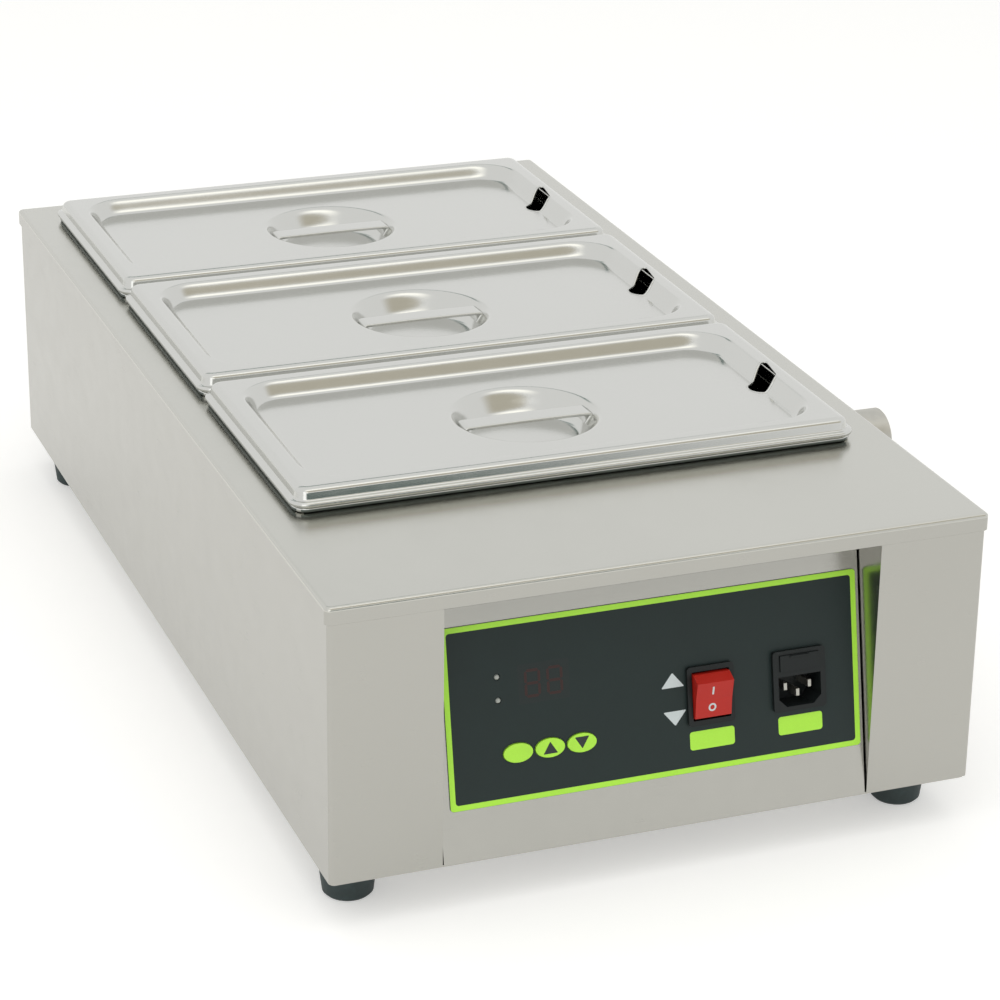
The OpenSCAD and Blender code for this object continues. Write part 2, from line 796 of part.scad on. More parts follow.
module top_cover() color(steel) {
  bend = concat([[cover_r, top_z - lip_h]], arc([lead, top_z - fold_r], fold_r, 0, 90), [[0, top_z]]);
  difference() {
    union() {
      translate([0, mid_y, 0]) around(cover_w, cover_d, cover_r) polygon(ribbon(bend, cover_t));
      translate([-cover_w / 2 + cover_r, cover_r, under_z])
        cube([cover_w - 2 * cover_r, cover_d - 2 * cover_r, cover_t]);
    }
    for (i = [0:pan_count - 1]) translate([pans_x, pan_mid(i), under_z - cut])
      linear_extrude(cover_t + 2 * cut)
        outline(tub_w + 2 * hole_gap, tub_d + 2 * hole_gap, tub_r + hole_gap);
    cover_screw_places() translate([0, 0, -screw_len]) cylinder(h = screw_len + cut, r = screw_r);
  }
  stud_places() translate([0, 0, -stud_len]) cylinder(h = stud_len, r = stud_r);
}

// Where the tank's studs stand, with their tops at the cover's underside
module stud_places() {
  for (x = [-1, 1], k = [0:stud_count - 1])
    translate([x * stud_x, tank_front + stud_inset + (tank_long - 2 * stud_inset) * k / (stud_count - 1),
      under_z])
      children();
}

// Where the rear screws sit, with Z along the screw, out of the rear
module cover_screw_places() {
  for (x = [-1, 0, 1])
    translate([x * cover_screw_x, cover_d, top_z - cover_screw_down]) rotate([-90, 0, 0]) children();
}

module body_shell() color(steel) {
  difference() {
    union() {
      translate([0, mid_y, plate_z]) difference() {
        linear_extrude(under_z - plate_z) outline(shell_w, shell_d, shell_r);
        translate([0, 0, -cut]) linear_extrude(under_z - plate_z + 2 * cut)
          outline(shell_w - 2 * sheet_t, shell_d - 2 * sheet_t, shell_r - sheet_t);
      }
      shell_flange(plate_z, shell_low_flange);
      shell_flange(under_z - sheet_t, shell_top_flange);
    }
    translate([-recess_half, -cut, base_z]) cube([2 * recess_half, recess_depth + cut, body_h]);
    translate([shell_half - 2 * sheet_t, stub_y, stub_z]) rotate([0, 90, 0])
      cylinder(h = 2 * cut, r = pipe_r + stub_clear);
    side_vents();
    shell_top_edge();
    body_screw_places() translate([0, 0, -cut]) cylinder(h = screw_len + 2 * cut, r = screw_r);
    cover_screw_places() translate([0, 0, -screw_len]) cylinder(h = screw_len + cut, r = screw_r);
  }
  for (x = [-1, 1]) translate([x * (recess_half + sheet_t / 2) - sheet_t / 2, shell_y0 + shell_edge,
    plate_z])
    cube([sheet_t, recess_depth - shell_y0 - shell_edge, under_z - plate_z]);
}

// What is cut off along the shell's upper edge, so that it clears the inside of the cover's fold
module shell_top_edge() translate([0, mid_y, 0]) around(shell_w, shell_d, shell_r) polygon([
  [shell_r - shell_edge, under_z], [shell_r, under_z - shell_edge], [shell_r + cut, under_z - shell_edge],
  [shell_r + cut, under_z + cut], [shell_r - shell_edge, under_z + cut]
]);

module shell_flange(z, wide) {
  translate([0, mid_y, z]) difference() {
    linear_extrude(sheet_t) outline(shell_w, shell_d, shell_r);
    translate([0, 0, -cut]) linear_extrude(sheet_t + 2 * cut)
      square([shell_w - 2 * wide, shell_d - 2 * wide], center = true);
  }
}

// A row of upright slots in the right wall, beside the controls
module side_vents() {
  first_y = vent_y - vent_pitch * (vent_count - 1) / 2;
  for (k = [0:vent_count - 1]) translate([shell_half, first_y + vent_pitch * k, vent_z]) {
    translate([-cut, -vent_w / 2, 0]) cube([2 * cut, vent_w, vent_h]);
    for (z = [0, vent_h]) translate([-cut, 0, z]) rotate([0, 90, 0]) cylinder(h = 2 * cut, r = vent_w / 2);
  }
}

// Where the body's screws come up from below, with Z = 0 at the underside of the bottom plate
module body_screw_places() {
  for (x = [-1, 1], share = screw_side_share)
    translate([x * (shell_half - screw_in), share * cover_d, base_z]) children();
  for (x = [-1, 1]) {
    translate([x * screw_end_x, shell_y0 + screw_in, base_z]) children();
    translate([x * screw_rear_x, cover_d - shell_y0 - screw_in, base_z]) children();
    translate([x * screw_panel_x, screw_panel_y, base_z]) children();
  }
}

module screw() {
  translate([0, 0, -screw_head_h]) cylinder(h = screw_head_h, r = screw_head_r);
  cylinder(h = screw_len, r = screw_r);
}

module body_screws() color(steel) body_screw_places() screw();

module cover_screws() color(steel) cover_screw_places() rotate([180, 0, 0]) screw();

module bottom_plate() color(steel) difference() {
  translate([0, mid_y, base_z]) linear_extrude(plate_t)
    outline(shell_w - 2 * plate_inset, shell_d - 2 * plate_inset, shell_r);
  body_screw_places() translate([0, 0, -cut]) cylinder(h = screw_len, r = screw_r);
  foot_places() cylinder(h = 2 * foot_h, r = foot_screw_r);
  low_vents();
  earth_place() translate([0, 0, -cut]) cylinder(h = 2 * cut, r = screw_r);
}

// Slots under the controls and at the rear
module low_vents() {
  for (y = [low_vent_y, cover_d - low_vent_rear_in], k = [0:low_vent_count - 1])
    translate([low_vent_pitch * (k - (low_vent_count - 1) / 2), y, base_z - cut]) {
      translate([-vent_w / 2, -low_vent_long / 2, 0]) cube([vent_w, low_vent_long, 2 * cut]);
      for (e = [-1, 1]) translate([0, e * low_vent_long / 2, 0]) cylinder(h = 2 * cut, r = vent_w / 2);
    }
}

module foot_places() {
  for (x = [-1, 1], y = [foot_front_y, cover_d - foot_rear_y]) translate([x * foot_x, y, 0]) children();
}

module feet() color(black) foot_places() difference() {
  rotate_extrude() polygon([
    [0, 0], [foot_low_r - foot_edge, 0], [foot_low_r, foot_edge],
    [foot_high_r, foot_h - foot_edge], [foot_high_r, foot_h], [0, foot_h]
  ]);
  translate([0, 0, -cut]) cylinder(h = foot_cup_h + cut, r = foot_cup_r);
  cylinder(h = foot_h + cut, r = foot_screw_r);
}

module foot_screws() color(steel) foot_places() {
  translate([0, 0, foot_cup_h - foot_head_h]) cylinder(h = foot_head_h, r = foot_head_r);
  translate([0, 0, foot_cup_h])
    cylinder(h = foot_h - foot_cup_h + plate_t + foot_nut_h + foot_screw_over, r = foot_screw_r);
}

module foot_nuts() color(steel) foot_places() translate([0, 0, plate_z])
  nut(foot_nut_af, foot_nut_h, foot_screw_r);

// The panel's section, folded at its lower and upper ends
module control_panel() color(steel) difference() {
  union() {
    fold = [
      [panel_y(plate_z) + panel_flange, plate_z], [panel_y(plate_z), plate_z],
      [panel_y(under_z), under_z], [panel_y(under_z) + panel_flange, under_z]
    ];
    rotate([90, 0, 90]) linear_extrude(2 * panel_half, center = true) polygon(ribbon(fold, -sheet_t));
    on_panel() for (x = [-1, 1])
      block(x * (panel_half - sheet_t / 2), (panel_side_low + panel_side_high) / 2, -panel_side, 0, sheet_t,
        panel_side_high - panel_side_low);
  }
  on_panel() {
    block(switch_x, switch_v, -cut, cut, switch_w - switch_edge, switch_h - switch_edge);
    block(inlet_x, inlet_v, -cut, cut, inlet_w - inlet_edge, inlet_h - inlet_edge);
    block(display_x, display_v, -cut, cut, window_w, window_h);
    for (v = [lamp_low, lamp_high]) translate([lamp_x, v, -cut])
      cylinder(h = 2 * cut, r = lamp_r + lamp_gap);
    key_places() translate([0, 0, -cut]) key_oval(key_gap, 2 * cut);
  }
  body_screw_places() translate([0, 0, -cut]) cylinder(h = screw_len + 2 * cut, r = screw_r);
}

module key_places() {
  for (k = [-1:1]) translate([key_x + k * key_pitch, key_v, 0]) children();
}

module key_oval(more, h) {
  a = key_w / 2 + more;
  b = key_w * key_high_share / 2 + more;
  scale([1, b / a, 1]) cylinder(h = h, r = a);
}

module panel_overlay() color(dark) on_panel() difference() {
  translate([(overlay_left + overlay_right) / 2, (overlay_low + overlay_high) / 2, 0])
    linear_extrude(overlay_t) outline(overlay_right - overlay_left, overlay_high - overlay_low, overlay_r);
  block(switch_x, switch_v, -cut, cut, switch_w - switch_edge, switch_h - switch_edge);
  block(inlet_x, inlet_v, -cut, cut, inlet_w - inlet_edge, inlet_h - inlet_edge);
  block(display_x, display_v, -cut, cut, window_w, window_h);
  for (v = [lamp_low, lamp_high]) translate([lamp_x, v, -cut]) cylinder(h = 2 * cut, r = lamp_r + lamp_gap);
  key_places() translate([0, 0, -cut]) key_oval(key_gap, 2 * cut);
}

module display_window() color(dark) on_panel()
  block(display_x, display_v, -sheet_t, overlay_t, window_w, window_h);

module display_module() color(black) on_panel() {
  block(display_x, display_v, board_z, board_z + display_deep, display_w, display_h);
}

module status_lamps() color(green) on_panel() for (v = [lamp_low, lamp_high]) translate([lamp_x, v, 0]) {
  translate([0, 0, lamp_low_z]) cylinder(h = lamp_top_z - lamp_low_z, r = lamp_r);
  translate([0, 0, lamp_top_z]) sphere(r = lamp_r);
  for (x = [-1, 1]) translate([x * lamp_r / 2, 0, board_z]) cylinder(h = lamp_low_z - board_z, r = lead_r);
}

// One key: an oval head through the panel, a wider foot behind it and a stem
module key(k) color(green) on_panel() translate([key_x + k * key_pitch, key_v, 0]) {
  translate([0, 0, -sheet_t - key_slack]) key_oval(0, sheet_t + key_slack + overlay_t + key_out);
  translate([0, 0, -sheet_t - key_slack - key_foot_t]) key_oval(key_foot_w, key_foot_t);
  translate([0, 0, key_stem_z])
    cylinder(h = -sheet_t - key_slack - key_foot_t - key_stem_z, r = key_stem_r);
}

module key_set() key(-1);
module key_up() key(0);
module key_down() key(1);

module control_board() color(board_green) on_panel() difference() {
  block((board_left + board_right) / 2, (board_low + board_high) / 2, board_z - board_t, board_z,
    board_right - board_left, board_high - board_low);
  board_fix_places() translate([0, 0, board_z - cut]) cylinder(h = 2 * cut, r = spacer_stud_r);
}

module board_fix_places() {
  for (x = [board_left + board_fix, board_right - board_fix],
    v = [board_low + board_fix, board_high - board_fix])
    translate([x, v, 0]) children();
}

module board_spacers() color(steel) on_panel() board_fix_places() {
  translate([0, 0, board_z]) cylinder(h = board_back, r = spacer_r);
  translate([0, 0, board_z - board_t - board_nut_h - spacer_stud_r])
    cylinder(h = board_t + board_nut_h + spacer_stud_r, r = spacer_stud_r);
}

module board_nuts() color(steel) on_panel() board_fix_places()
  translate([0, 0, board_z - board_t - board_nut_h]) nut(board_nut_af, board_nut_h, spacer_stud_r);

module tact_switches() color(black) on_panel() key_places() {
  block(0, 0, board_z, board_z + tact_h, tact_w, tact_w);
  translate([0, 0, board_z + tact_h]) cylinder(h = tact_top_h, r = tact_top_r);
}

module board_relay() color(blue) on_panel()
  block(relay_x, relay_v, board_z - board_t - relay_deep, board_z - board_t, relay_w, relay_h);

module board_transformer() color(grey) on_panel() {
  block(coil_x, coil_v, board_z - board_t - coil_deep, board_z - board_t, coil_w, coil_h);
  block(coil_x, coil_v, board_z - board_t - coil_deep - coil_lip, board_z - board_t - coil_lip,
    coil_w - 2 * coil_lip, coil_h + 2 * coil_lip);
}

module board_terminals() color(green) on_panel() difference() {
  block(clamp_x, clamp_v, board_z - board_t - clamp_deep, board_z - board_t, clamp_w, clamp_h);
  for (k = [0:clamp_count - 1])
    translate([clamp_x + clamp_pitch * (k - (clamp_count - 1) / 2), clamp_v,
      board_z - board_t - clamp_deep - cut])
    cylinder(h = clamp_hole_h + cut, r = mains_r);
}

module board_capacitor() color(blue) on_panel()
  translate([cap_x, cap_v, board_z - board_t - tin_h]) cylinder(h = tin_h, r = tin_r);

module switch_housing() color(black) on_panel() translate([switch_x, switch_v, 0]) difference() {
  union() {
    translate([0, 0, face_w]) linear_extrude(switch_t) outline(switch_w, switch_h, overlay_r);
    block(0, 0, -switch_deep, face_w, switch_w - switch_edge, switch_h - switch_edge);
  }
  block(0, 0, -switch_cup, face_w + switch_t + cut, rocker_w + 2 * rocker_gap, 2 * rocker_room);
  translate([0, 0, face_w]) rotate([0, 90, 0])
    cylinder(h = rocker_w + 2 * rocker_gap + 2 * axle_in, r = axle_r + axle_gap, center = true);
  for (x = [-1, 1], v = [-1, 1])
    block(x * blade_x, v * blade_v, -switch_deep - cut, -switch_cup - sheet_t, blade_t, blade_w);
}

// The rocker's section is drawn level, then tipped to its resting angle about its axle
module rocker() color(red) on_panel() translate([switch_x, switch_v, face_w]) rotate([rocker_tilt, 0, 0]) {
  rotate([90, 0, 90]) linear_extrude(rocker_w, center = true) polygon([
    [-rocker_half, rocker_high], [0, rocker_mid], [rocker_half, rocker_high],
    [rocker_end, rocker_edge], [rocker_low_half, -rocker_skirt], [rocker_hub, -rocker_deep],
    [-rocker_hub, -rocker_deep], [-rocker_low_half, -rocker_skirt], [-rocker_end, rocker_edge]
  ]);
  rotate([0, 90, 0]) cylinder(h = rocker_w + 2 * rocker_gap + 2 * axle_in - 2 * axle_gap, r = axle_r,
    center = true);
}

module switch_blades() color(brass) on_panel() for (x = [-1, 1], v = [-1, 1])
  block(switch_x + x * blade_x, switch_v + v * blade_v, -switch_deep - blade_out, -switch_cup - sheet_t,
    blade_t, blade_w);

module socket_shape() {
  h = socket_h / 2;
  w = socket_w / 2;
  polygon([[-w, h], [w, h], [w, -h + socket_cut], [w - socket_cut, -h], [-w + socket_cut, -h],
    [-w, -h + socket_cut]]);
}

module inlet_body() color(black) on_panel() difference() {
  union() {
    translate([inlet_x, inlet_v, face_w]) linear_extrude(inlet_t) outline(inlet_w, inlet_h, overlay_r);
    block(inlet_x, inlet_v, -inlet_deep, face_w, inlet_w - inlet_edge, inlet_h - inlet_edge);
  }
  translate([inlet_x, socket_v, drawer_z - socket_deep]) linear_extrude(socket_deep + cut) socket_shape();
  block(inlet_x, drawer_v, drawer_z - drawer_deep - drawer_gap, drawer_z + cut,
    drawer_w + 2 * drawer_gap, drawer_h + 2 * drawer_gap);
  pin_places() block(0, 0, -inlet_deep - cut, drawer_z - socket_deep + cut, pin_t, pin_w);
}

module pin_places() {
  for (x = [-1, 0, 1])
    translate([inlet_x + x * pin_pitch / 2, socket_v + pin_up - (x == 0 ? pin_drop : 0), 0]) children();
}

module inlet_pins() color(steel) on_panel() pin_places() {
  block(0, 0, -inlet_deep, drawer_z - pin_short, pin_t, pin_w);
  block(0, 0, -inlet_deep - blade_out, -inlet_deep, blade_t, pin_w);
}

module fuse_drawer() color(black) on_panel() translate([inlet_x, drawer_v, 0]) difference() {
  union() {
    block(0, 0, drawer_z - drawer_deep, drawer_z, drawer_w, drawer_h);
    block(0, 0, drawer_z, drawer_z + drawer_lip, drawer_w, drawer_h);
    block(0, drawer_h / 2 - drawer_lip, drawer_z + drawer_lip, drawer_z + 2 * drawer_lip, drawer_w / 2,
      drawer_lip);
  }
  translate([0, 0, fuse_z]) rotate([0, 90, 0]) cylinder(h = fuse_len, r = fuse_r, center = true);
  block(0, drawer_h / 2, fuse_z - fuse_r, fuse_z + fuse_r, fuse_len, drawer_h);
}

module fuse() color(white) on_panel() translate([inlet_x, drawer_v, fuse_z]) rotate([0, 90, 0])
  cylinder(h = fuse_len, r = fuse_r, center = true);

module water_tank() color(steel) difference() {
  union() {
    translate([0, tank_mid_y, floor_z - sheet_t]) difference() {
      linear_extrude(under_z - floor_z + sheet_t)
        outline(2 * tank_half + 2 * sheet_t, tank_long + 2 * sheet_t, tank_r + sheet_t);
      translate([0, 0, sheet_t]) linear_extrude(under_z - floor_z + cut)
        outline(2 * tank_half, tank_long, tank_r);
    }
    translate([0, tank_mid_y, under_z - sheet_t]) linear_extrude(sheet_t) difference() {
      outline(2 * (tank_half + sheet_t + tank_flange), tank_long + 2 * (sheet_t + tank_flange),
        tank_r + sheet_t + tank_flange);
      outline(2 * tank_half, tank_long, tank_r);
    }
  }
  stud_places() translate([0, 0, -stud_len]) cylinder(h = stud_len + cut, r = stud_r);
  for (x = [-1, 1]) translate([x * heat_half, tank_front - sheet_t - cut, heat_z]) rotate([-90, 0, 0])
    cylinder(h = sheet_t + 2 * cut, r = heat_r);
  translate([probe_x, tank_front - sheet_t - cut, probe_z]) rotate([-90, 0, 0])
    cylinder(h = sheet_t + 2 * cut, r = probe_r);
  translate([tank_half - cut, stub_y, stub_z]) rotate([0, 90, 0])
    cylinder(h = sheet_t + 2 * cut, r = pipe_r);
}

module tank_nuts() color(steel) stud_places() translate([0, 0, -sheet_t - nut_h])
  nut(nut_af, nut_h, stud_r);

module heating_element() color(grey) translate([0, 0, heat_z]) {
  for (x = [-1, 1]) translate([x * heat_half, heat_front, 0]) rotate([-90, 0, 0]) {
    cylinder(h = heat_rear - heat_front, r = heat_r);
    translate([0, 0, -heat_stud_len]) cylinder(h = heat_stud_len, r = heat_stud_r);
  }
  translate([0, heat_rear, 0]) rotate_extrude(angle = 180) translate([heat_half, 0]) circle(heat_r);
}

module element_nuts() color(steel) for (x = [-1, 1]) translate([x * heat_half, 0, heat_z]) {
  translate([0, heat_tag_y - nut_h, 0]) rotate([-90, 0, 0]) nut(nut_af, nut_h, heat_stud_r);
  translate([0, tank_front + seal_t, 0]) rotate([-90, 0, 0]) nut(fitting_af, fitting_h, heat_r);
  translate([0, tank_front - sheet_t - fitting_h, 0]) rotate([-90, 0, 0])
    nut(fitting_af, fitting_h, heat_r);
}

module element_seals() color(black) for (x = [-1, 1]) translate([x * heat_half, tank_front, heat_z])
  rotate([-90, 0, 0]) ring(fitting_af / 2, heat_r, seal_t);

// Saddles that carry the heating tube over the tank's floor
module element_rests() color(steel) for (x = [-1, 1], share = rest_share)
  translate([x * heat_half, tank_front + share * (heat_rear - tank_front), floor_z]) {
  difference() {
    translate([-rest_w / 2, -rest_t / 2, 0]) cube([rest_w, rest_t, heat_up]);
    translate([0, 0, heat_up]) rotate([90, 0, 0]) cylinder(h = 2 * cut, r = heat_r, center = true);
  }
  translate([-rest_w / 2, rest_t / 2, 0]) cube([rest_w, rest_foot, rest_t]);
}

module temp_probe() color(steel) translate([probe_x, 0, probe_z]) {
  translate([0, tank_front - sheet_t - probe_out, 0]) rotate([-90, 0, 0])
    cylinder(h = probe_out + sheet_t + probe_in, r = probe_r);
  translate([0, tank_front + probe_in, 0]) sphere(r = probe_r);
}

module probe_gland() color(steel) translate([probe_x, 0, probe_z]) {
  translate([0, tank_front, 0]) rotate([-90, 0, 0]) nut(foot_nut_af, foot_nut_h, probe_r);
  translate([0, tank_front - sheet_t - foot_nut_h, 0]) rotate([-90, 0, 0])
    nut(foot_nut_af, foot_nut_h, probe_r);
}

// Overheat cut-out held flat against the outside of the tank's front wall
module cutout() color(black) translate([cutout_x, tank_front - sheet_t, cutout_z]) rotate([90, 0, 0]) {
  difference() {
    translate([-cutout_ear, -cutout_r / 2, 0]) cube([2 * cutout_ear, cutout_r, sheet_t]);
    for (x = [-1, 1]) translate([x * (cutout_ear - screw_r - sheet_t), 0, -cut])
      cylinder(h = 2 * cut, r = cutout_screw_r);
  }
  cylinder(h = cutout_deep, r = cutout_r);
  for (x = [-1, 1]) block(x * cutout_r / 2, 0, cutout_deep, cutout_deep + blade_out, blade_t, pin_w);
}

module cutout_screws() color(steel) translate([cutout_x, tank_front - sheet_t, cutout_z]) rotate([90, 0, 0])
  for (x = [-1, 1]) translate([x * (cutout_ear - screw_r - sheet_t), 0, 0]) {
    cylinder(h = sheet_t, r = cutout_screw_r);
    translate([0, 0, sheet_t]) cylinder(h = screw_head_h, r = stud_r + sheet_t);
  }

module earth_place() {
  translate([earth_x, earth_y, base_z]) children();
}

module earth_stud() color(brass) earth_place() {
  cylinder(h = earth_len, r = screw_r);
  for (z = [plate_t, plate_t + nut_h + tag_t]) translate([0, 0, z]) nut(nut_af, nut_h, screw_r);
}

module stub_axis() {
  translate([0, stub_y, stub_z]) rotate([0, 90, 0]) children();
}

module stub_pipe() color(steel) stub_axis() {
  translate([0, 0, tank_half - pipe_wall]) difference() {
    union() {
      cylinder(h = pipe_wall, r = pipe_flange_r);
      cylinder(h = stub_reach - cap_end - cap_slack - tank_half + pipe_wall, r = pipe_r);
    }
    translate([0, 0, -cut]) cylinder(h = stub_reach, r = pipe_r - pipe_wall);
  }
}

module stub_seal() color(black) stub_axis() translate([0, 0, tank_half + sheet_t])
  ring(pipe_flange_r, pipe_r, seal_t);

module stub_nut() color(steel) stub_axis() translate([0, 0, tank_half + sheet_t + seal_t])
  nut(lock_af, lock_h, pipe_r);

module stub_collar() color(black) stub_axis() translate([0, 0, shell_half])
  ring(pipe_flange_r, pipe_r, seal_t);

module stub_cap() color(steel) stub_axis() rotate_extrude() polygon([
  [pipe_r + cap_gap, stub_reach - cap_len], [cap_r - cap_edge, stub_reach - cap_len],
  [cap_r, stub_reach - cap_len + cap_edge], [cap_r, stub_reach - cap_edge],
  [cap_r - cap_edge, stub_reach], [0, stub_reach],
  [0, stub_reach - cap_end], [pipe_r + cap_gap, stub_reach - cap_end]
]);

// A push-on boot over a blade's end, with the blade's end at 0 and the blade along Z
module boot(w) difference() {
  block(0, 0, -boot_off, boot_on, blade_t + 2 * boot_wall, w + 2 * boot_wall);
  block(0, 0, 0, boot_on + cut, blade_t, w);
}

// A wire is a tube with mitred turns: each ring is the one before it, slid along its run to the next mitre
function way(p, i) = (p[i + 1] - p[i]) / norm(p[i + 1] - p[i]);
function first_ring(p, r) =
  let(d = way(p, 0), s = cross(d, [0, 0, 1]), u = s / norm(s), v = cross(d, u))
  [for (k = [0:wire_sides - 1]) p[0] + r * (cos(360 * k / wire_sides) * u + sin(360 * k / wire_sides) * v)];
function wire_ring(p, r, i) =
  i == 0 ? first_ring(p, r) :
  let(d = way(p, i - 1), n = i < len(p) - 1 ? d + way(p, i) : d)
  [for (q = wire_ring(p, r, i - 1)) q + d * ((p[i] - q) * n) / (d * n)];

module wire(p, r) {
  n = wire_sides;
  last = len(p) - 1;
  sides = [
    for (i = [0:last - 1], k = [0:n - 1])
      [i * n + k, (i + 1) * n + k, (i + 1) * n + (k + 1) % n, i * n + (k + 1) % n]
  ];
  ends = [[for (k = [0:n - 1]) k], [for (k = [n - 1:-1:0]) last * n + k]];
  polyhedron(points = [for (i = [0:last]) each wire_ring(p, r, i)], faces = concat(ends, sides));
}

module blade_boot(i, j) on_panel() translate([switch_x + i * blade_x, switch_v + j * blade_v, blade_end])
  boot(blade_w);

module pin_boot(i) on_panel()
  translate([inlet_x + i * pin_pitch / 2, socket_v + pin_up - (i == 0 ? pin_drop : 0), pin_end])
  boot(pin_w);

// Inlet to switch and switch to terminals
module mains_wires() color(brown) for (k = [0, 1]) {
  i = 2 * k - 1;
  pin_boot(i);
  blade_boot(-i, 1);
  wire([pin_at(i, pin_end), pin_at(i, run(k)), blade_at(-i, 1, run(k)), blade_at(-i, 1, blade_end)],
    mains_r);
  blade_boot(i, -1);
  wire([blade_at(i, -1, blade_end), blade_at(i, -1, run(k)), clamp_at(clamp_count - 1 - k, run(k)),
    clamp_at(clamp_count - 1 - k, clamp_end)],
    mains_r);
}

module cutout_boot(i) translate(cutout_at(i, cutout_end)) rotate([-90, 0, 0]) boot(pin_w);

module heat_tag(i) translate([i * heat_half, heat_tag_y, heat_z]) rotate([-90, 0, 0])
  ring(tag_r, heat_stud_r, tag_t);

// Terminals to the cut-out, the cut-out to the heater, and the heater back to the terminals
module heater_wires() color(white) {
  cutout_boot(-1);
  wire([clamp_at(clamp_count - 3, clamp_end), clamp_at(clamp_count - 3, run(2)),
    cutout_at(-1, cutout_near_y), cutout_at(-1, cutout_end)],
    mains_r);
  cutout_boot(1);
  heat_tag(1);
  wire([
    cutout_at(1, cutout_end), cutout_at(1, cutout_far_y), heat_at(1, heat_turn_z),
    heat_at(1, heat_z + tag_r - tag_t)
  ], mains_r);
  heat_tag(-1);
  wire([
    clamp_at(0, clamp_end), clamp_at(0, run(2)), [heat_left_x, cutout_near_y, heat_turn_z],
    heat_at(-1, heat_turn_z), heat_at(-1, heat_z + tag_r - tag_t)
  ], mains_r);
}

module probe_wires() color(black) for (k = [0, 1]) {
  x = probe_x + (k - 1 / 2) * probe_r;
  wire([[x, probe_end, probe_z], [x, probe_turn_y[k], probe_z], clamp_at(1 + k, run(4 - k)),
    clamp_at(1 + k, clamp_end)], wire_r);
}

module earth_wire() color(yellow_green) {
  a = pin_at(0, run(0));
  pin_boot(0);
  translate([earth_x, earth_y, earth_tag_z]) ring(tag_r, screw_r, tag_t);
  wire([pin_at(0, pin_end), a, [a[0], a[1], earth_turn_z], [a[0], earth_y, earth_turn_z],
    [earth_x - tag_r + tag_t, earth_y, earth_turn_z]], mains_r);
}

module pan(i) color(steel) translate([pans_x, pan_mid(i), 0]) {
  under = rim_top - pan_t;
  around(pan_w, pan_d, rim_corner_r) translate([rim_corner_r - rim_r, top_z + rim_r]) circle(rim_r);
  translate([0, 0, under]) linear_extrude(pan_t) difference() {
    outline(pan_w - 2 * rim_r, pan_d - 2 * rim_r, rim_corner_r - rim_r);
    outline(tub_w + 2 * tub_out, tub_d + 2 * tub_out, tub_r + tub_out);
  }
  side = concat(
    [[tub_r + tub_out, under]],
    arc([tub_r + tub_high_r, under - tub_high_r], tub_high_r, 90, 180),
    arc([tub_low_c, pan_low + tub_low_r], tub_low_r, 0, -90),
    [[tub_low_c - lead, pan_low]]
  );
  around(tub_w, tub_d, tub_r) polygon(ribbon(side, -pan_t));
  translate([0, 0, pan_low]) linear_extrude(pan_t)
    outline(tub_w - 2 * tub_floor_in, tub_d - 2 * tub_floor_in, tub_low_c - lead);
}

module pan_front() pan(0);
module pan_middle() pan(1);
module pan_rear() pan(2);

module lid(i) color(steel) translate([pans_x, pan_mid(i), 0]) {
  wall = concat(
    [[rim_corner_r - rim_r, rim_top + 2 * rim_r], [rim_corner_r - lid_flange, rim_top + 2 * rim_r]],
    arc([ring_corner + lead, ring_z - lid_round], lid_round, 0, 90), [[ring_corner, ring_z]]
  );
  difference() {
    union() {
      around(pan_w, pan_d, rim_corner_r) {
        translate([rim_corner_r - rim_r, rim_top + rim_r]) circle(rim_r);
        polygon(ribbon(wall, pan_t));
      }
      translate([0, 0, ring_z - pan_t]) linear_extrude(pan_t) difference() {
        outline(pan_w - 2 * ring_in, pan_d - 2 * ring_in, ring_corner);
        outline(recess_w + 2 * lead, recess_d + 2 * lead, recess_r + lead);
      }
      around(recess_w, recess_d, recess_r)
        polygon(ribbon(drawn(recess_r, ring_z, recess_wall, recess_deep), pan_t));
      translate([0, 0, recess_z - pan_t]) linear_extrude(pan_t) difference() {
        outline(recess_w - 2 * recess_floor_in, recess_d - 2 * recess_floor_in, recess_r - recess_floor_in);
        circle(dish_r + lead);
      }
      rotate_extrude() polygon(ribbon(drawn(dish_r, recess_z, dish_wall, dish_deep), pan_t));
      translate([0, 0, recess_z - dish_deep - pan_t]) cylinder(h = pan_t, r = dish_r - dish_wall - lead);
    }
    notch();
  }
}

// The spoon notch: a round end in the recess and a narrow end that climbs into the raised ring
module notch() {
  a = [notch_x, -notch_front];
  b = [notch_tip_x, notch_tip_back];
  intersection() {
    translate([a[0], a[1], recess_z - cut]) cylinder(h = 2 * recess_deep, r = notch_r);
    translate([0, -recess_d / 2, 0]) cube([recess_w / 2, recess_d, top_z + foot_h]);
  }
  translate([a[0], a[1], recess_z - cut]) rotate([0, 0, atan2(b[1] - a[1], b[0] - a[0])]) {
    translate([0, -notch_tip_r, 0]) cube([norm(b - a), 2 * notch_tip_r, 2 * recess_deep]);
    translate([norm(b - a), 0, 0]) cylinder(h = 2 * recess_deep, r = notch_tip_r);
  }
}

module lid_front() lid(0);
module lid_middle() lid(1);
module lid_rear() lid(2);

// A strap across the dish, cut to the dish's own wall at both ends
module handle(i) color(steel) translate([pans_x, pan_mid(i), 0]) intersection() {
  translate([-dish_r, -strap_w / 2, recess_z - strap_down - strap_t]) cube([2 * dish_r, strap_w, strap_t]);
  rotate_extrude() polygon(concat([[0, recess_z]], curve(dish_r, recess_z, dish_wall, dish_deep),
    [[0, recess_z - dish_deep]]));
}

module handle_front() handle(0);
module handle_middle() handle(1);
module handle_rear() handle(2);

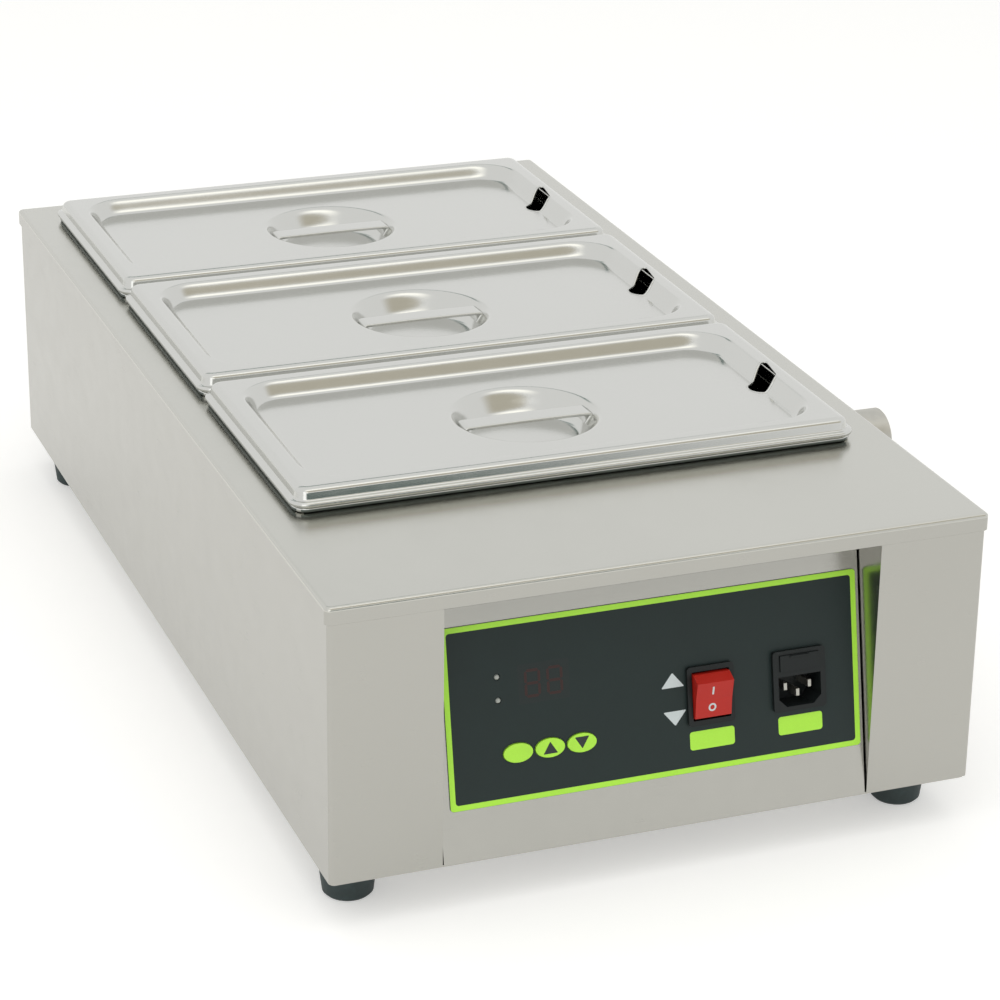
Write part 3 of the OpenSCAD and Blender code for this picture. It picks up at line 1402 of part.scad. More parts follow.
placed() top_cover();
placed() body_shell();
placed() bottom_plate();
placed() body_screws();
placed() cover_screws();
placed() feet();
placed() foot_screws();
placed() foot_nuts();
placed() control_panel();
placed() panel_overlay();
placed() display_window();
placed() display_module();
placed() status_lamps();
placed() key_set();
placed() key_up();
placed() key_down();
placed() control_board();
placed() board_spacers();
placed() board_nuts();
placed() tact_switches();
placed() board_relay();
placed() board_transformer();
placed() board_terminals();
placed() board_capacitor();
placed() switch_housing();
placed() rocker();
placed() switch_blades();
placed() inlet_body();
placed() inlet_pins();
placed() fuse_drawer();
placed() fuse();
placed() water_tank();
placed() tank_nuts();
placed() heating_element();
placed() element_nuts();
placed() element_seals();
placed() element_rests();
placed() temp_probe();
placed() probe_gland();
placed() cutout();
placed() cutout_screws();
placed() earth_stud();
placed() stub_pipe();
placed() stub_seal();
placed() stub_nut();
placed() stub_collar();
placed() stub_cap();
placed() mains_wires();
placed() heater_wires();
placed() probe_wires();
placed() earth_wire();
placed() pan_front();
placed() pan_middle();
placed() pan_rear();
placed() lid_front();
placed() lid_middle();
placed() lid_rear();
placed() handle_front();
placed() handle_middle();
placed() handle_rear();
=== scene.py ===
# Countertop chocolate melter, dressed to match its picture.
# Everything is in metres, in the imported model's own frame. Lengths written in MM are millimetres.
import json
import math

import bmesh
import bpy
from mathutils import Matrix, Vector


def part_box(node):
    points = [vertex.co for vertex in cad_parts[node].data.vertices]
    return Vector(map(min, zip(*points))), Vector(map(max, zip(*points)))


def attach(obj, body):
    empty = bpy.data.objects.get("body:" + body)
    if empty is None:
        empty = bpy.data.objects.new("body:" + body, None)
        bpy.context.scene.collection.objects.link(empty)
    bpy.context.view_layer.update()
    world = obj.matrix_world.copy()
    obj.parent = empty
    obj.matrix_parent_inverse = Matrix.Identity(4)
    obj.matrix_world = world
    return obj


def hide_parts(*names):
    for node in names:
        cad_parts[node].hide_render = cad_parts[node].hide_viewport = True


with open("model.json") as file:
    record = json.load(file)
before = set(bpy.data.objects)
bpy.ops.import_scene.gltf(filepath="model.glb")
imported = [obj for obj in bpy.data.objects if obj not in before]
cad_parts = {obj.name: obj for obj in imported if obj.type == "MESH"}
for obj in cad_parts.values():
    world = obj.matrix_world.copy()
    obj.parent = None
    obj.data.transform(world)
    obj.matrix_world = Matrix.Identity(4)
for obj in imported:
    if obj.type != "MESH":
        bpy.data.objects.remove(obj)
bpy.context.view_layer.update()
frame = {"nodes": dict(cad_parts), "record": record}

NODES = frame["nodes"]
MM = 0.001

# The picture's camera
CAMERA_AT = Vector((-0.63179, -1.69957, 0.84497))
CAMERA_AZIMUTH = math.radians(-20.9214)
CAMERA_ELEVATION = math.radians(22.9198)
CAMERA_ROLL = math.radians(0.7920)
FOCAL_SHARE = 3.23766
PICTURE_SIDE = 1000
SENSOR_WIDTH = 36.0

# Light
WORLD_LEVEL = 0.60
SOFTBOX_POWER = 23.0
SOFTBOX_SIZE = 2.8
SOFTBOX_AT = Vector((-0.35, -0.55, 2.35))
FRONT_POWER = 8.0
FRONT_SIZE = 2.0
FRONT_AT = Vector((-0.9, -2.35, 1.15))
FLOOR_TINT = (0.83, 0.82, 0.785)
FLOOR_GLOW = 0.38
FLOOR_SIZE = 24.0

# Names of the three places, from front to rear
PLACES = ("front", "middle", "rear")


# Places taken from the frame
cover_low, cover_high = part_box("top_cover")
MIDDLE_X = (cover_low.x + cover_high.x) / 2
TOP_Z = cover_high.z
BASE_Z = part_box("bottom_plate")[0].z
LEAN = math.atan(0.2)
PANEL_FOOT_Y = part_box("body_shell")[0].y
OVERLAY_FACE = 0.6 * MM


def panel_point(x, v, w):
    """A place on the leaning panel: x from the body's middle, v up the panel, w out of it."""
    return Vector((
        MIDDLE_X + x,
        PANEL_FOOT_Y + v * math.sin(LEAN) - w * math.cos(LEAN),
        BASE_Z + v * math.cos(LEAN) + w * math.sin(LEAN),
    ))


# Mesh helpers
def mesh_object(name, verts, faces, smooth=True, sharp=35):
    mesh = bpy.data.meshes.new(name)
    mesh.from_pydata([tuple(v) for v in verts], [], faces)
    mesh.validate()
    if smooth:
        mesh.polygons.foreach_set("use_smooth", [True] * len(mesh.polygons))
        mesh.set_sharp_from_angle(angle=math.radians(sharp))
    obj = bpy.data.objects.new(name, mesh)
    bpy.context.scene.collection.objects.link(obj)
    return obj


def loft(rings, closed=False, first_cap=False, last_cap=False):
    """Vertices and faces of a skin through rings that all have the same number of points."""
    n = len(rings[0])
    verts = [p for ring in rings for p in ring]
    faces = []
    spans = len(rings) if closed else len(rings) - 1
    for i in range(spans):
        a, b = i * n, ((i + 1) % len(rings)) * n
        for j in range(n):
            k = (j + 1) % n
            faces.append((a + j, a + k, b + k, b + j))
    if first_cap:
        faces.append(tuple(reversed(range(n))))
    if last_cap:
        faces.append(tuple(range((len(rings) - 1) * n, len(rings) * n)))
    return verts, faces


def join_parts(parts):
    """Several (vertices, faces) pairs as one."""
    verts, faces = [], []
    for v, f in parts:
        start = len(verts)
        verts += list(v)
        faces += [tuple(start + i for i in face) for face in f]
    return verts, faces


def rounded(half_x, half_y, radius, corner=10, long_side=60, short_side=26):
    """Points round a rectangle with round corners, counter-clockwise, always as many."""
    points = []
    radius = max(radius, 0.05 * MM)
    for k in range(4):
        cx = (half_x - radius) * (1 if k in (0, 3) else -1)
        cy = (half_y - radius) * (1 if k in (0, 1) else -1)
        for s in range(corner + 1):
            a = math.radians(90 * k + 90 * s / corner)
            points.append((cx + radius * math.cos(a), cy + radius * math.sin(a)))
        side = long_side if k in (0, 2) else short_side
        nx = (half_x - radius) * (1 if (k + 1) % 4 in (0, 3) else -1)
        ny = (half_y - radius) * (1 if (k + 1) % 4 in (0, 1) else -1)
        a = math.radians(90 * (k + 1))
        end = (nx + radius * math.cos(a), ny + radius * math.sin(a))
        start = points[-1]
        for s in range(1, side):
            t = s / side
            points.append((start[0] + (end[0] - start[0]) * t, start[1] + (end[1] - start[1]) * t))
    return points


def bezier(p0, p1, p2, steps):
    """Points on a quadratic curve, without its first point."""
    out = []
    for s in range(1, steps + 1):
        t = s / steps
        out.append(tuple((1 - t) ** 2 * a + 2 * t * (1 - t) * b + t * t * c for a, b, c in zip(p0, p1, p2)))
    return out


def drop(share, deep):
    """Depth of a drawn wall at a share of its width."""
    return deep * (1 - math.cos(math.pi * share)) / 2


def bake(obj):
    """Applies every modifier of a piece."""
    graph = bpy.context.evaluated_depsgraph_get()
    mesh = bpy.data.meshes.new_from_object(obj.evaluated_get(graph))
    old = obj.data
    obj.modifiers.clear()
    obj.data = mesh
    bpy.data.meshes.remove(old)
    return obj


def subtract(obj, cutter):
    """Cuts cutter out of obj for good, and removes the cutter."""
    mod = obj.modifiers.new("cut", "BOOLEAN")
    mod.operation = "DIFFERENCE"
    mod.solver = "EXACT"
    mod.object = cutter
    bpy.context.view_layer.update()
    bake(obj)
    bpy.data.objects.remove(cutter)
    return obj


def shade(obj, sharp=35):
    """Smooth shading with sharp edges kept, and normals that follow the large flat faces."""
    obj.data.polygons.foreach_set("use_smooth", [True] * len(obj.data.polygons))
    obj.data.set_sharp_from_angle(angle=math.radians(sharp))
    mod = obj.modifiers.new("normals", "WEIGHTED_NORMAL")
    mod.keep_sharp = True
    mod.weight = 90
    return obj


def tube(points, radius, sides=8, closed=True):
    """A round bar along points."""
    rings = []
    count = len(points)
    up = Vector((0, 0, 1))
    for i, p in enumerate(points):
        before = points[i - 1] if (closed or i > 0) else points[i]
        after = points[(i + 1) % count] if (closed or i < count - 1) else points[i]
        ahead = (after - before).normalized()
        side = ahead.cross(up).normalized()
        rise = side.cross(ahead).normalized()
        rings.append([
            p + side * (radius * math.cos(2 * math.pi * s / sides))
            + rise * (radius * math.sin(2 * math.pi * s / sides))
            for s in range(sides)
        ])
    return loft(rings, closed=closed, first_cap=not closed, last_cap=not closed)


def place(obj, body, slot_name, material, *nodes):
    """Finishes a piece: its material, its body, and the nodes that it stands for; the slot name is not used.
    """
    obj.data.materials.clear()
    obj.data.materials.append(material)
    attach(obj, body)
    if nodes:
        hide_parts(*nodes)
    return obj


# Material helpers
def material(name):
    mat = bpy.data.materials.new(name)
    mat.use_nodes = True
    return mat


def shader(mat, **values):
    """Sets constant values on the shader's own sockets."""
    node = mat.node_tree.nodes["Principled BSDF"]
    for key, value in values.items():
        socket = node.inputs[key.replace("_", " ")]
        socket.default_value = (*value, 1.0) if isinstance(value, tuple) and len(value) == 3 else value
    return node


def add(mat, kind, **props):
    node = mat.node_tree.nodes.new(kind)
    for key, value in props.items():
        setattr(node, key, value)
    return node


def link(mat, a, b):
    mat.node_tree.links.new(a, b)


def stretched(mat, scale):
    """Object coordinates scaled per axis, in cycles per metre."""
    coords = add(mat, "ShaderNodeTexCoord")
    mapping = add(mat, "ShaderNodeMapping")
    mapping.inputs["Scale"].default_value = scale
    link(mat, coords.outputs["Object"], mapping.inputs["Vector"])
    return mapping.outputs["Vector"]


def noise(mat, scale, detail=3.0, rough=0.55, distortion=0.0):
    node = add(mat, "ShaderNodeTexNoise")
    node.inputs["Scale"].default_value = 1.0
    node.inputs["Detail"].default_value = detail
    node.inputs["Roughness"].default_value = rough
    node.inputs["Distortion"].default_value = distortion
    link(mat, stretched(mat, scale), node.inputs["Vector"])
    return node.outputs["Fac"]


def ramp(mat, source, stops):
    """A colour ramp from (place, colour) stops."""
    node = add(mat, "ShaderNodeValToRGB")
    elements = node.color_ramp.elements
    while len(elements) > 1:
        elements.remove(elements[-1])
    elements[0].position = stops[0][0]
    elements[0].color = (*stops[0][1], 1.0)
    for position, colour in stops[1:]:
        element = elements.new(position)
        element.color = (*colour, 1.0)
    link(mat, source, node.inputs["Fac"])
    return node.outputs["Color"]


def spread(mat, source, low, high, from_low=0.3, from_high=0.7):
    node = add(mat, "ShaderNodeMapRange")
    node.inputs["From Min"].default_value = from_low
    node.inputs["From Max"].default_value = from_high
    node.inputs["To Min"].default_value = low
    node.inputs["To Max"].default_value = high
    link(mat, source, node.inputs["Value"])
    return node.outputs["Result"]


def either(mat, a, b):
    """1 where either of two kinds of ray is on."""
    node = add(mat, "ShaderNodeMath", operation="ADD", use_clamp=True)
    link(mat, a, node.inputs[0])
    link(mat, b, node.inputs[1])
    return node.outputs[0]


def sum_of(mat, a, b, share=0.5):
    """A weighted sum of two values."""
    node = add(mat, "ShaderNodeMix", data_type="FLOAT")
    node.inputs["Factor"].default_value = share
    link(mat, a, node.inputs["A"])
    link(mat, b, node.inputs["B"])
    return node.outputs["Result"]


def bump(mat, height, distance, strength=1.0, before=None):
    node = add(mat, "ShaderNodeBump")
    node.inputs["Strength"].default_value = strength
    node.inputs["Distance"].default_value = distance
    link(mat, height, node.inputs["Height"])
    if before is not None:
        link(mat, before, node.inputs["Normal"])
    return node.outputs["Normal"]


def tone(colour, factor):
    return tuple(min(1.0, c * factor) for c in colour)


def steel(name, colour, rough, grain=(30, 1400, 1400), lines=0.012, cloud=0.03, wave=0.0, polish=0.0):
    """Stainless sheet: fine lines one way, soft clouds in tone and sheen, shallow waves from pressing."""
    mat = material(name)
    node = shader(mat, Metallic=1.0)
    fine = noise(mat, grain, detail=4.0, rough=0.7)
    soft = noise(mat, (9, 7, 8), detail=2.0)
    marks = noise(mat, (55, 40, 48), detail=5.0, rough=0.65)
    mixed = sum_of(mat, sum_of(mat, fine, marks, 0.35), soft, 0.45)
    tones = ramp(mat, mixed, [
        (0.36, tone(colour, 1 - cloud)), (0.5, colour), (0.64, tone(colour, 1 + cloud)),
    ])
    link(mat, tones, node.inputs["Base Color"])
    sheen = spread(mat, sum_of(mat, fine, marks, 0.5), rough * 0.86, rough * 1.16, 0.35, 0.65)
    link(mat, sheen, node.inputs["Roughness"])
    shaped = bump(mat, fine, lines * MM)
    if wave > 0:
        shaped = bump(mat, noise(mat, (22, 22, 22), detail=1.0), wave * MM, before=shaped)
    link(mat, shaped, node.inputs["Normal"])
    if polish > 0:
        shader(mat, Coat_Weight=polish, Coat_Roughness=0.08)
    return mat


def plastic(name, colour, rough, speck=0.06, grain=2600, depth=0.01, coat=0.0, shine=0.5):
    """Moulded plastic: a fine spark-eroded texture, faint flow clouds and handling shine."""
    mat = material(name)
    node = shader(mat, Coat_Weight=coat, Coat_Roughness=0.12, Specular_IOR_Level=shine)
    fine = noise(mat, (grain, grain, grain), detail=2.0)
    flow = noise(mat, (60, 60, 60), detail=3.0)
    tones = ramp(mat, sum_of(mat, fine, flow, 0.5), [
        (0.35, tone(colour, 1 - speck)), (0.65, tone(colour, 1 + speck)),
    ])
    link(mat, tones, node.inputs["Base Color"])
    link(mat, spread(mat, flow, rough * 0.88, rough * 1.14), node.inputs["Roughness"])
    link(mat, bump(mat, fine, depth * MM), node.inputs["Normal"])
    return mat


def rubber(name, colour):
    """Moulded rubber with dust in its texture."""
    mat = material(name)
    node = shader(mat, Specular_IOR_Level=0.4)
    fine = noise(mat, (1500, 1500, 1500), detail=3.0)
    dust = noise(mat, (130, 130, 130), detail=5.0, rough=0.7)
    tones = ramp(mat, dust, [(0.42, colour), (0.62, tone(colour, 1.35)), (0.75, (0.09, 0.095, 0.09))])
    link(mat, tones, node.inputs["Base Color"])
    link(mat, spread(mat, dust, 0.52, 0.72), node.inputs["Roughness"])
    link(mat, bump(mat, sum_of(mat, fine, dust, 0.4), 0.06 * MM), node.inputs["Normal"])
    return mat


def metal(name, colour, rough):
    """Plated or turned metal: faint turning lines and handling marks."""
    mat = material(name)
    node = shader(mat, Metallic=1.0)
    fine = noise(mat, (900, 900, 900), detail=3.0)
    marks = noise(mat, (160, 120, 140), detail=4.0)
    tones = ramp(mat, marks, [(0.35, tone(colour, 0.9)), (0.6, colour), (0.75, tone(colour, 1.06))])
    link(mat, tones, node.inputs["Base Color"])
    link(mat, spread(mat, marks, rough * 0.8, rough * 1.25), node.inputs["Roughness"])
    link(mat, bump(mat, fine, 0.006 * MM), node.inputs["Normal"])
    return mat


def floor_material():
    """Pale floor that keeps the shadow, and shows as white to the camera where nothing shades it."""
    mat = material("floor_paper")
    nodes = mat.node_tree.nodes
    node = shader(mat, Roughness=0.9, Specular_IOR_Level=0.1)
    grain = noise(mat, (40, 40, 40), detail=2.0)
    tones = ramp(mat, grain, [(0.3, tone(FLOOR_TINT, 0.995)), (0.7, FLOOR_TINT)])
    link(mat, tones, node.inputs["Base Color"])
    path = add(mat, "ShaderNodeLightPath")
    glow = add(mat, "ShaderNodeEmission")
    glow.inputs["Color"].default_value = (1, 1, 1, 1)
    seen = either(mat, path.outputs["Is Camera Ray"], path.outputs["Is Glossy Ray"])
    seen = either(mat, seen, path.outputs["Is Transmission Ray"])
    level = add(mat, "ShaderNodeMath", operation="MULTIPLY")
    link(mat, seen, level.inputs[0])
    level.inputs[1].default_value = FLOOR_GLOW
    link(mat, level.outputs[0], glow.inputs["Strength"])
    both = add(mat, "ShaderNodeAddShader")
    link(mat, node.outputs["BSDF"], both.inputs[0])
    link(mat, glow.outputs["Emission"], both.inputs[1])
    link(mat, both.outputs["Shader"], nodes["Material Output"].inputs["Surface"])
    return mat


def card_edge(mat, axis, half, soft):
    """How much of the card is there along one of its own axes: 1 in the middle, 0 at the rim."""
    away = add(mat, "ShaderNodeMath", operation="ABSOLUTE")
    link(mat, axis, away.inputs[0])
    share = add(mat, "ShaderNodeMapRange", interpolation_type="SMOOTHSTEP")
    link(mat, away.outputs[0], share.inputs["Value"])
    share.inputs["From Min"].default_value = half * (1 - soft)
    share.inputs["From Max"].default_value = half
    share.inputs["To Min"].default_value = 1.0
    share.inputs["To Max"].default_value = 0.0
    return share.outputs["Result"]


def card_material(name, colour, width, height, soft):
    """A plain card with a soft rim, that only reflections see."""
    mat = material(name)
    nodes = mat.node_tree.nodes
    glow = add(mat, "ShaderNodeEmission")
    glow.inputs["Color"].default_value = (*colour, 1.0)
    glow.inputs["Strength"].default_value = 1.0
    where = add(mat, "ShaderNodeTexCoord")
    axes = add(mat, "ShaderNodeSeparateXYZ")
    link(mat, where.outputs["Object"], axes.inputs["Vector"])
    there = add(mat, "ShaderNodeMath", operation="MULTIPLY")
    link(mat, card_edge(mat, axes.outputs["X"], width / 2, soft), there.inputs[0])
    link(mat, card_edge(mat, axes.outputs["Y"], height / 2, soft), there.inputs[1])
    clear = add(mat, "ShaderNodeBsdfTransparent")
    both = add(mat, "ShaderNodeMixShader")
    link(mat, there.outputs[0], both.inputs["Fac"])
    link(mat, clear.outputs["BSDF"], both.inputs[1])
    link(mat, glow.outputs["Emission"], both.inputs[2])
    link(mat, both.outputs["Shader"], nodes["Material Output"].inputs["Surface"])
    return mat


# The studio
def make_camera():
    azimuth, elevation, roll = CAMERA_AZIMUTH, CAMERA_ELEVATION, CAMERA_ROLL
    back = Vector((
        math.sin(azimuth) * math.cos(elevation),
        -math.cos(azimuth) * math.cos(elevation),
        math.sin(elevation),
    ))
    right = (-back).cross(Vector((0, 0, 1))).normalized()
    up = right.cross(-back)
    x_axis = right * math.cos(roll) + up * math.sin(roll)
    y_axis = up * math.cos(roll) - right * math.sin(roll)
    data = bpy.data.cameras.new("camera")
    data.sensor_fit = "HORIZONTAL"
    data.sensor_width = SENSOR_WIDTH
    data.lens = FOCAL_SHARE * SENSOR_WIDTH
    data.clip_end = 100.0
    camera = bpy.data.objects.new("camera", data)
    bpy.context.scene.collection.objects.link(camera)
    turn = Matrix((x_axis, y_axis, back)).transposed()
    camera.matrix_world = Matrix.Translation(CAMERA_AT) @ turn.to_4x4()
    bpy.context.scene.camera = camera


def make_world():
    world = bpy.data.worlds.new("studio")
    bpy.context.scene.world = world
    world.use_nodes = True
    tree = world.node_tree
    tree.nodes.clear()
    out = tree.nodes.new("ShaderNodeOutputWorld")
    path = tree.nodes.new("ShaderNodeLightPath")
    seen = tree.nodes.new("ShaderNodeBackground")
    seen.inputs["Color"].default_value = (1, 1, 1, 1)
    seen.inputs["Strength"].default_value = 1.0
    lights = tree.nodes.new("ShaderNodeBackground")
    lights.inputs["Color"].default_value = (0.98, 0.99, 1.0, 1)
    lights.inputs["Strength"].default_value = WORLD_LEVEL
    one = tree.nodes.new("ShaderNodeMath")
    one.operation = "ADD"
    two = tree.nodes.new("ShaderNodeMath")
    two.operation = "ADD"
    two.use_clamp = True
    tree.links.new(path.outputs["Is Camera Ray"], one.inputs[0])
    tree.links.new(path.outputs["Is Glossy Ray"], one.inputs[1])
    tree.links.new(one.outputs[0], two.inputs[0])
    tree.links.new(path.outputs["Is Transmission Ray"], two.inputs[1])
    mix = tree.nodes.new("ShaderNodeMixShader")
    tree.links.new(two.outputs[0], mix.inputs["Fac"])
    tree.links.new(lights.outputs[0], mix.inputs[1])
    tree.links.new(seen.outputs[0], mix.inputs[2])
    tree.links.new(mix.outputs[0], out.inputs["Surface"])


def make_light(name, size, power, at):
    data = bpy.data.lights.new(name, "AREA")
    data.shape = "SQUARE"
    data.size = size
    data.energy = power
    lamp = bpy.data.objects.new(name, data)
    bpy.context.scene.collection.objects.link(lamp)
    aim = Vector((0, 0, 0.15)) - at
    lamp.location = at
    lamp.rotation_euler = aim.to_track_quat("-Z", "Y").to_euler()
    return lamp


def make_lights():
    make_light("softbox", SOFTBOX_SIZE, SOFTBOX_POWER, SOFTBOX_AT).visible_glossy = False
    make_light("front_fill", FRONT_SIZE, FRONT_POWER, FRONT_AT)


def make_floor():
    half = FLOOR_SIZE / 2
    corners = [(-half, -half, 0), (half, -half, 0), (half, half, 0), (-half, half, 0)]
    floor = mesh_object("floor", corners, [(0, 1, 2, 3)])
    floor.data.materials.append(floor_material())


def make_card(name, colour, middle, width, height, soft):
    """A card that only reflections see, with its middle; all cards face the machine."""
    middle = Vector(middle)
    corners = [(sx * width / 2, sy * height / 2, 0) for sx, sy in ((-1, -1), (1, -1), (1, 1), (-1, 1))]
    card = mesh_object(name, corners, [(0, 1, 2, 3)], smooth=False)
    card.location = middle
    card.rotation_euler = (CARDS_FACE - middle).to_track_quat("Z", "Y").to_euler()
    card.data.materials.append(card_material(name, colour, width, height, soft))
    card.visible_camera = False
    card.visible_diffuse = False
    card.visible_transmission = False
    card.visible_volume_scatter = False
    card.visible_shadow = False


# Each card's colour, middle, width, height and the soft share of its rim
CARDS = {
    "card_top": ((1.8, 1.77, 1.68), (0.3, -1.1, 2.8), 4.0, 1.3, 0.85),
    "card_back": ((0.10, 0.19, 0.17), (0.3, 2.6, 2.6), 3.4, 0.8, 0.8),
    "card_front": ((0.66, 0.62, 0.52), (0.9, -2.6, 2.6), 6.0, 2.2, 0.6),
    "card_front_low": ((0.02, 0.075, 0.06), (0.1, -2.5, 0.50), 2.3, 0.8, 0.6),
}
CARDS_FACE = Vector((0, 0, 0.2))


def make_cards():
    for name, row in CARDS.items():
        make_card(name, *row)


# The lids
RIM_R = 1.6 * MM
LID_CORNER = 10 * MM
LID_FLANGE = 3 * MM
LID_UP = 13 * MM
LID_RING = 13.5 * MM
RECESS_R = 27 * MM
RECESS_DEEP = 8.6 * MM
RECESS_WALL = 9 * MM
DISH_R = 43 * MM
DISH_DEEP = 13 * MM
DISH_WALL = 13 * MM
LID_SHEET = 0.8 * MM
RING_Z = TOP_Z + LID_UP
RECESS_Z = RING_Z - RECESS_DEEP
NOTCH_AT = Vector((142.5 * MM, -5.5 * MM))
NOTCH_R = 8.0 * MM
NOTCH_TIP = Vector((150.5 * MM, 9.5 * MM))
NOTCH_TIP_R = 2.4 * MM
NOTCH_EDGE = 0.75 * MM
STRAP_W = 13 * MM
STRAP_T = 2 * MM
STRAP_DOWN = 1.4 * MM


def lid_box(place_name):
    low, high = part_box("lid_" + place_name)
    return (low + high) / 2, (high.x - low.x) / 2, (high.y - low.y) / 2


def lid_section():
    """The rim's section as (distance in from its edge, height), from under the bead up to the ring."""
    centre_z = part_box("pan_front")[1].z + RIM_R
    section = []
    for s in range(17):
        a = math.radians(-150 + 232 * s / 16)
        section.append((RIM_R - RIM_R * math.cos(a), centre_z + RIM_R * math.sin(a)))
    foot = section[-1]
    flange_z = centre_z + RIM_R
    slope_foot = (LID_FLANGE + 0.1 * MM, flange_z + 1.0 * MM)
    section += bezier(foot, (LID_FLANGE - 0.3 * MM, flange_z), slope_foot, 5)
    shoulder = (LID_FLANGE + 0.7 * MM, RING_Z - 2.7 * MM)
    section.append(shoulder)
    corner = (LID_FLANGE + 1.5 * MM, RING_Z - 0.1 * MM)
    section += bezier(shoulder, corner, (LID_FLANGE + 5.4 * MM, RING_Z), 10)
    return section


def lid_rings(half_x, half_y):
    rings = []
    for inset, z in lid_section():
        rings.append([(x, y, z) for x, y in rounded(half_x - inset, half_y - inset, LID_CORNER - inset)])
    steps = 18
    start = LID_RING - 1 * MM
    rings.append([(x, y, RING_Z) for x, y in rounded(half_x - start, half_y - start, RECESS_R + 1 * MM)])
    for s in range(steps + 1):
        inset = LID_RING + RECESS_WALL * s / steps
        z = RING_Z - drop(s / steps, RECESS_DEEP)
        radius = RECESS_R + LID_RING - inset
        rings.append([(x, y, z) for x, y in rounded(half_x - inset, half_y - inset, radius)])
    inset = LID_RING + RECESS_WALL + 1 * MM
    floor = rounded(half_x - inset, half_y - inset, RECESS_R - RECESS_WALL - 1 * MM)
    rings.append([(x, y, RECESS_Z) for x, y in floor])
    ways = [Vector(p).normalized() for p in floor]
    rings.append([(w.x * (DISH_R + 1 * MM), w.y * (DISH_R + 1 * MM), RECESS_Z) for w in ways])
    for s in range(steps + 1):
        r = DISH_R - DISH_WALL * s / steps
        z = RECESS_Z - drop(s / steps, DISH_DEEP)
        rings.append([(w.x * r, w.y * r, z) for w in ways])
    for r in (0.8, 0.45, 0.15):
        inner = (DISH_R - DISH_WALL) * r
        rings.append([(w.x * inner, w.y * inner, RECESS_Z - DISH_DEEP) for w in ways])
    return rings


def notch_outline(more=0.0, count=120):
    """The notch seen from above: a round end in the recess that narrows to a small round end on the ring."""
    span = NOTCH_TIP - NOTCH_AT
    outline = []
    for i in range(count):
        a = 2 * math.pi * i / count
        way = Vector((math.cos(a), math.sin(a)))
        reach = NOTCH_R
        for k in range(1, 25):
            share = k / 24
            along = way.dot(span) * share
            root = along ** 2 - (span.length * share) ** 2 + (NOTCH_R + (NOTCH_TIP_R - NOTCH_R) * share) ** 2
            if root >= 0:
                reach = max(reach, along + math.sqrt(root))
        outline.append(NOTCH_AT + way * (reach + more))
    return outline


def lid_height(x, y, half_x, half_y):
    """Height of the lid's upper face near the recess's wall."""
    hx, hy = half_x - LID_RING, half_y - LID_RING
    qx, qy = abs(x) - hx + RECESS_R, abs(y) - hy + RECESS_R
    outside = math.hypot(max(qx, 0), max(qy, 0)) + min(max(qx, qy), 0) - RECESS_R
    share = min(1.0, max(0.0, -outside / RECESS_WALL))
    return RING_Z - drop(share, RECESS_DEEP)


def make_lid_mesh():
    _, half_x, half_y = lid_box("front")
    skin = mesh_object("lid_skin", *loft(lid_rings(half_x, half_y), last_cap=True))
    solid = skin.modifiers.new("sheet", "SOLIDIFY")
    solid.thickness = LID_SHEET
    solid.offset = -1
    bake(skin)
    low, high = RECESS_Z - 4 * MM, RING_Z + 4 * MM
    outline = notch_outline()
    cutter = mesh_object("cutter", *loft(
        [[(p.x, p.y, z) for p in outline] for z in (low, high)], first_cap=True, last_cap=True))
    subtract(skin, cutter)
    edge = [Vector((p.x, p.y, lid_height(p.x, p.y, half_x, half_y) - 0.35 * MM))
            for p in notch_outline(0.2 * MM)]
    rolled = mesh_object("rolled", *tube(edge, NOTCH_EDGE, sides=10))
    both = bmesh.new()
    both.from_mesh(skin.data)
    both.from_mesh(rolled.data)
    both.to_mesh(skin.data)
    both.free()
    bpy.data.objects.remove(rolled)
    return skin


def strap_path():
    """The strap's middle line, from one end bent down on the dish's wall to the other."""
    z = RECESS_Z - STRAP_DOWN - STRAP_T / 2
    points = []
    for share, off in ((0.60, 1.0), (0.48, 1.0), (0.38, 0.9)):
        points.append((DISH_R - DISH_WALL * share - off * MM, RECESS_Z - drop(share, DISH_DEEP) + 0.4 * MM))
    end = points[-1]
    bend = bezier(end, (end[0] + 0.3 * MM, z + 0.2 * MM), (end[0] - 3.4 * MM, z), 6)
    points += bend
    half = points + [(24 * MM, z + 0.15 * MM), (12 * MM, z + 0.25 * MM)]
    return [Vector((-x, 0, h)) for x, h in half] + [Vector((0, 0, z + 0.3 * MM))] + [
        Vector((x, 0, h)) for x, h in reversed(half)]


def make_strap_mesh():
    path = strap_path()
    section = rounded(STRAP_W / 2, STRAP_T / 2, 0.85 * MM, corner=5, long_side=3, short_side=1)
    rings = []
    for i, p in enumerate(path):
        ahead = (path[min(i + 1, len(path) - 1)] - path[max(i - 1, 0)]).normalized()
        rise = Vector((-ahead.z, 0, ahead.x))
        rings.append([p + Vector((0, a, 0)) + rise * b for a, b in section])
    return mesh_object("strap", *loft(rings, first_cap=True, last_cap=True))


def make_lids(look, strap_look):
    skin, strap = make_lid_mesh(), make_strap_mesh()
    for name in PLACES:
        middle, _, _ = lid_box(name)
        for source, piece, body_node in ((skin, "lid_%s_skin", "lid_"), (strap, "lid_%s_strap", "handle_")):
            obj = bpy.data.objects.new(piece % name, source.data.copy())
            bpy.context.scene.collection.objects.link(obj)
            obj.location = (middle.x, middle.y, 0)
            shade(obj, 40)
            place(obj, "lid_" + name, "drawn_steel", look if source is skin else strap_look, body_node + name)
    bpy.data.objects.remove(skin)
    bpy.data.objects.remove(strap)


# The pans
PAN_RIM_IN = 1.6 * MM
PAN_RIM_R = 1.55 * MM
PAN_INSET = 11.5 * MM
TUB_R = 30 * MM
TUB_TAPER = 7 * MM
TUB_LOW_R = 13 * MM
TUB_HIGH_R = 3 * MM
# Width in from the pan rim's edge that gets the dark material: painted shade under the lid's bead
PAINTED_SHADE_IN = 3.0 * MM


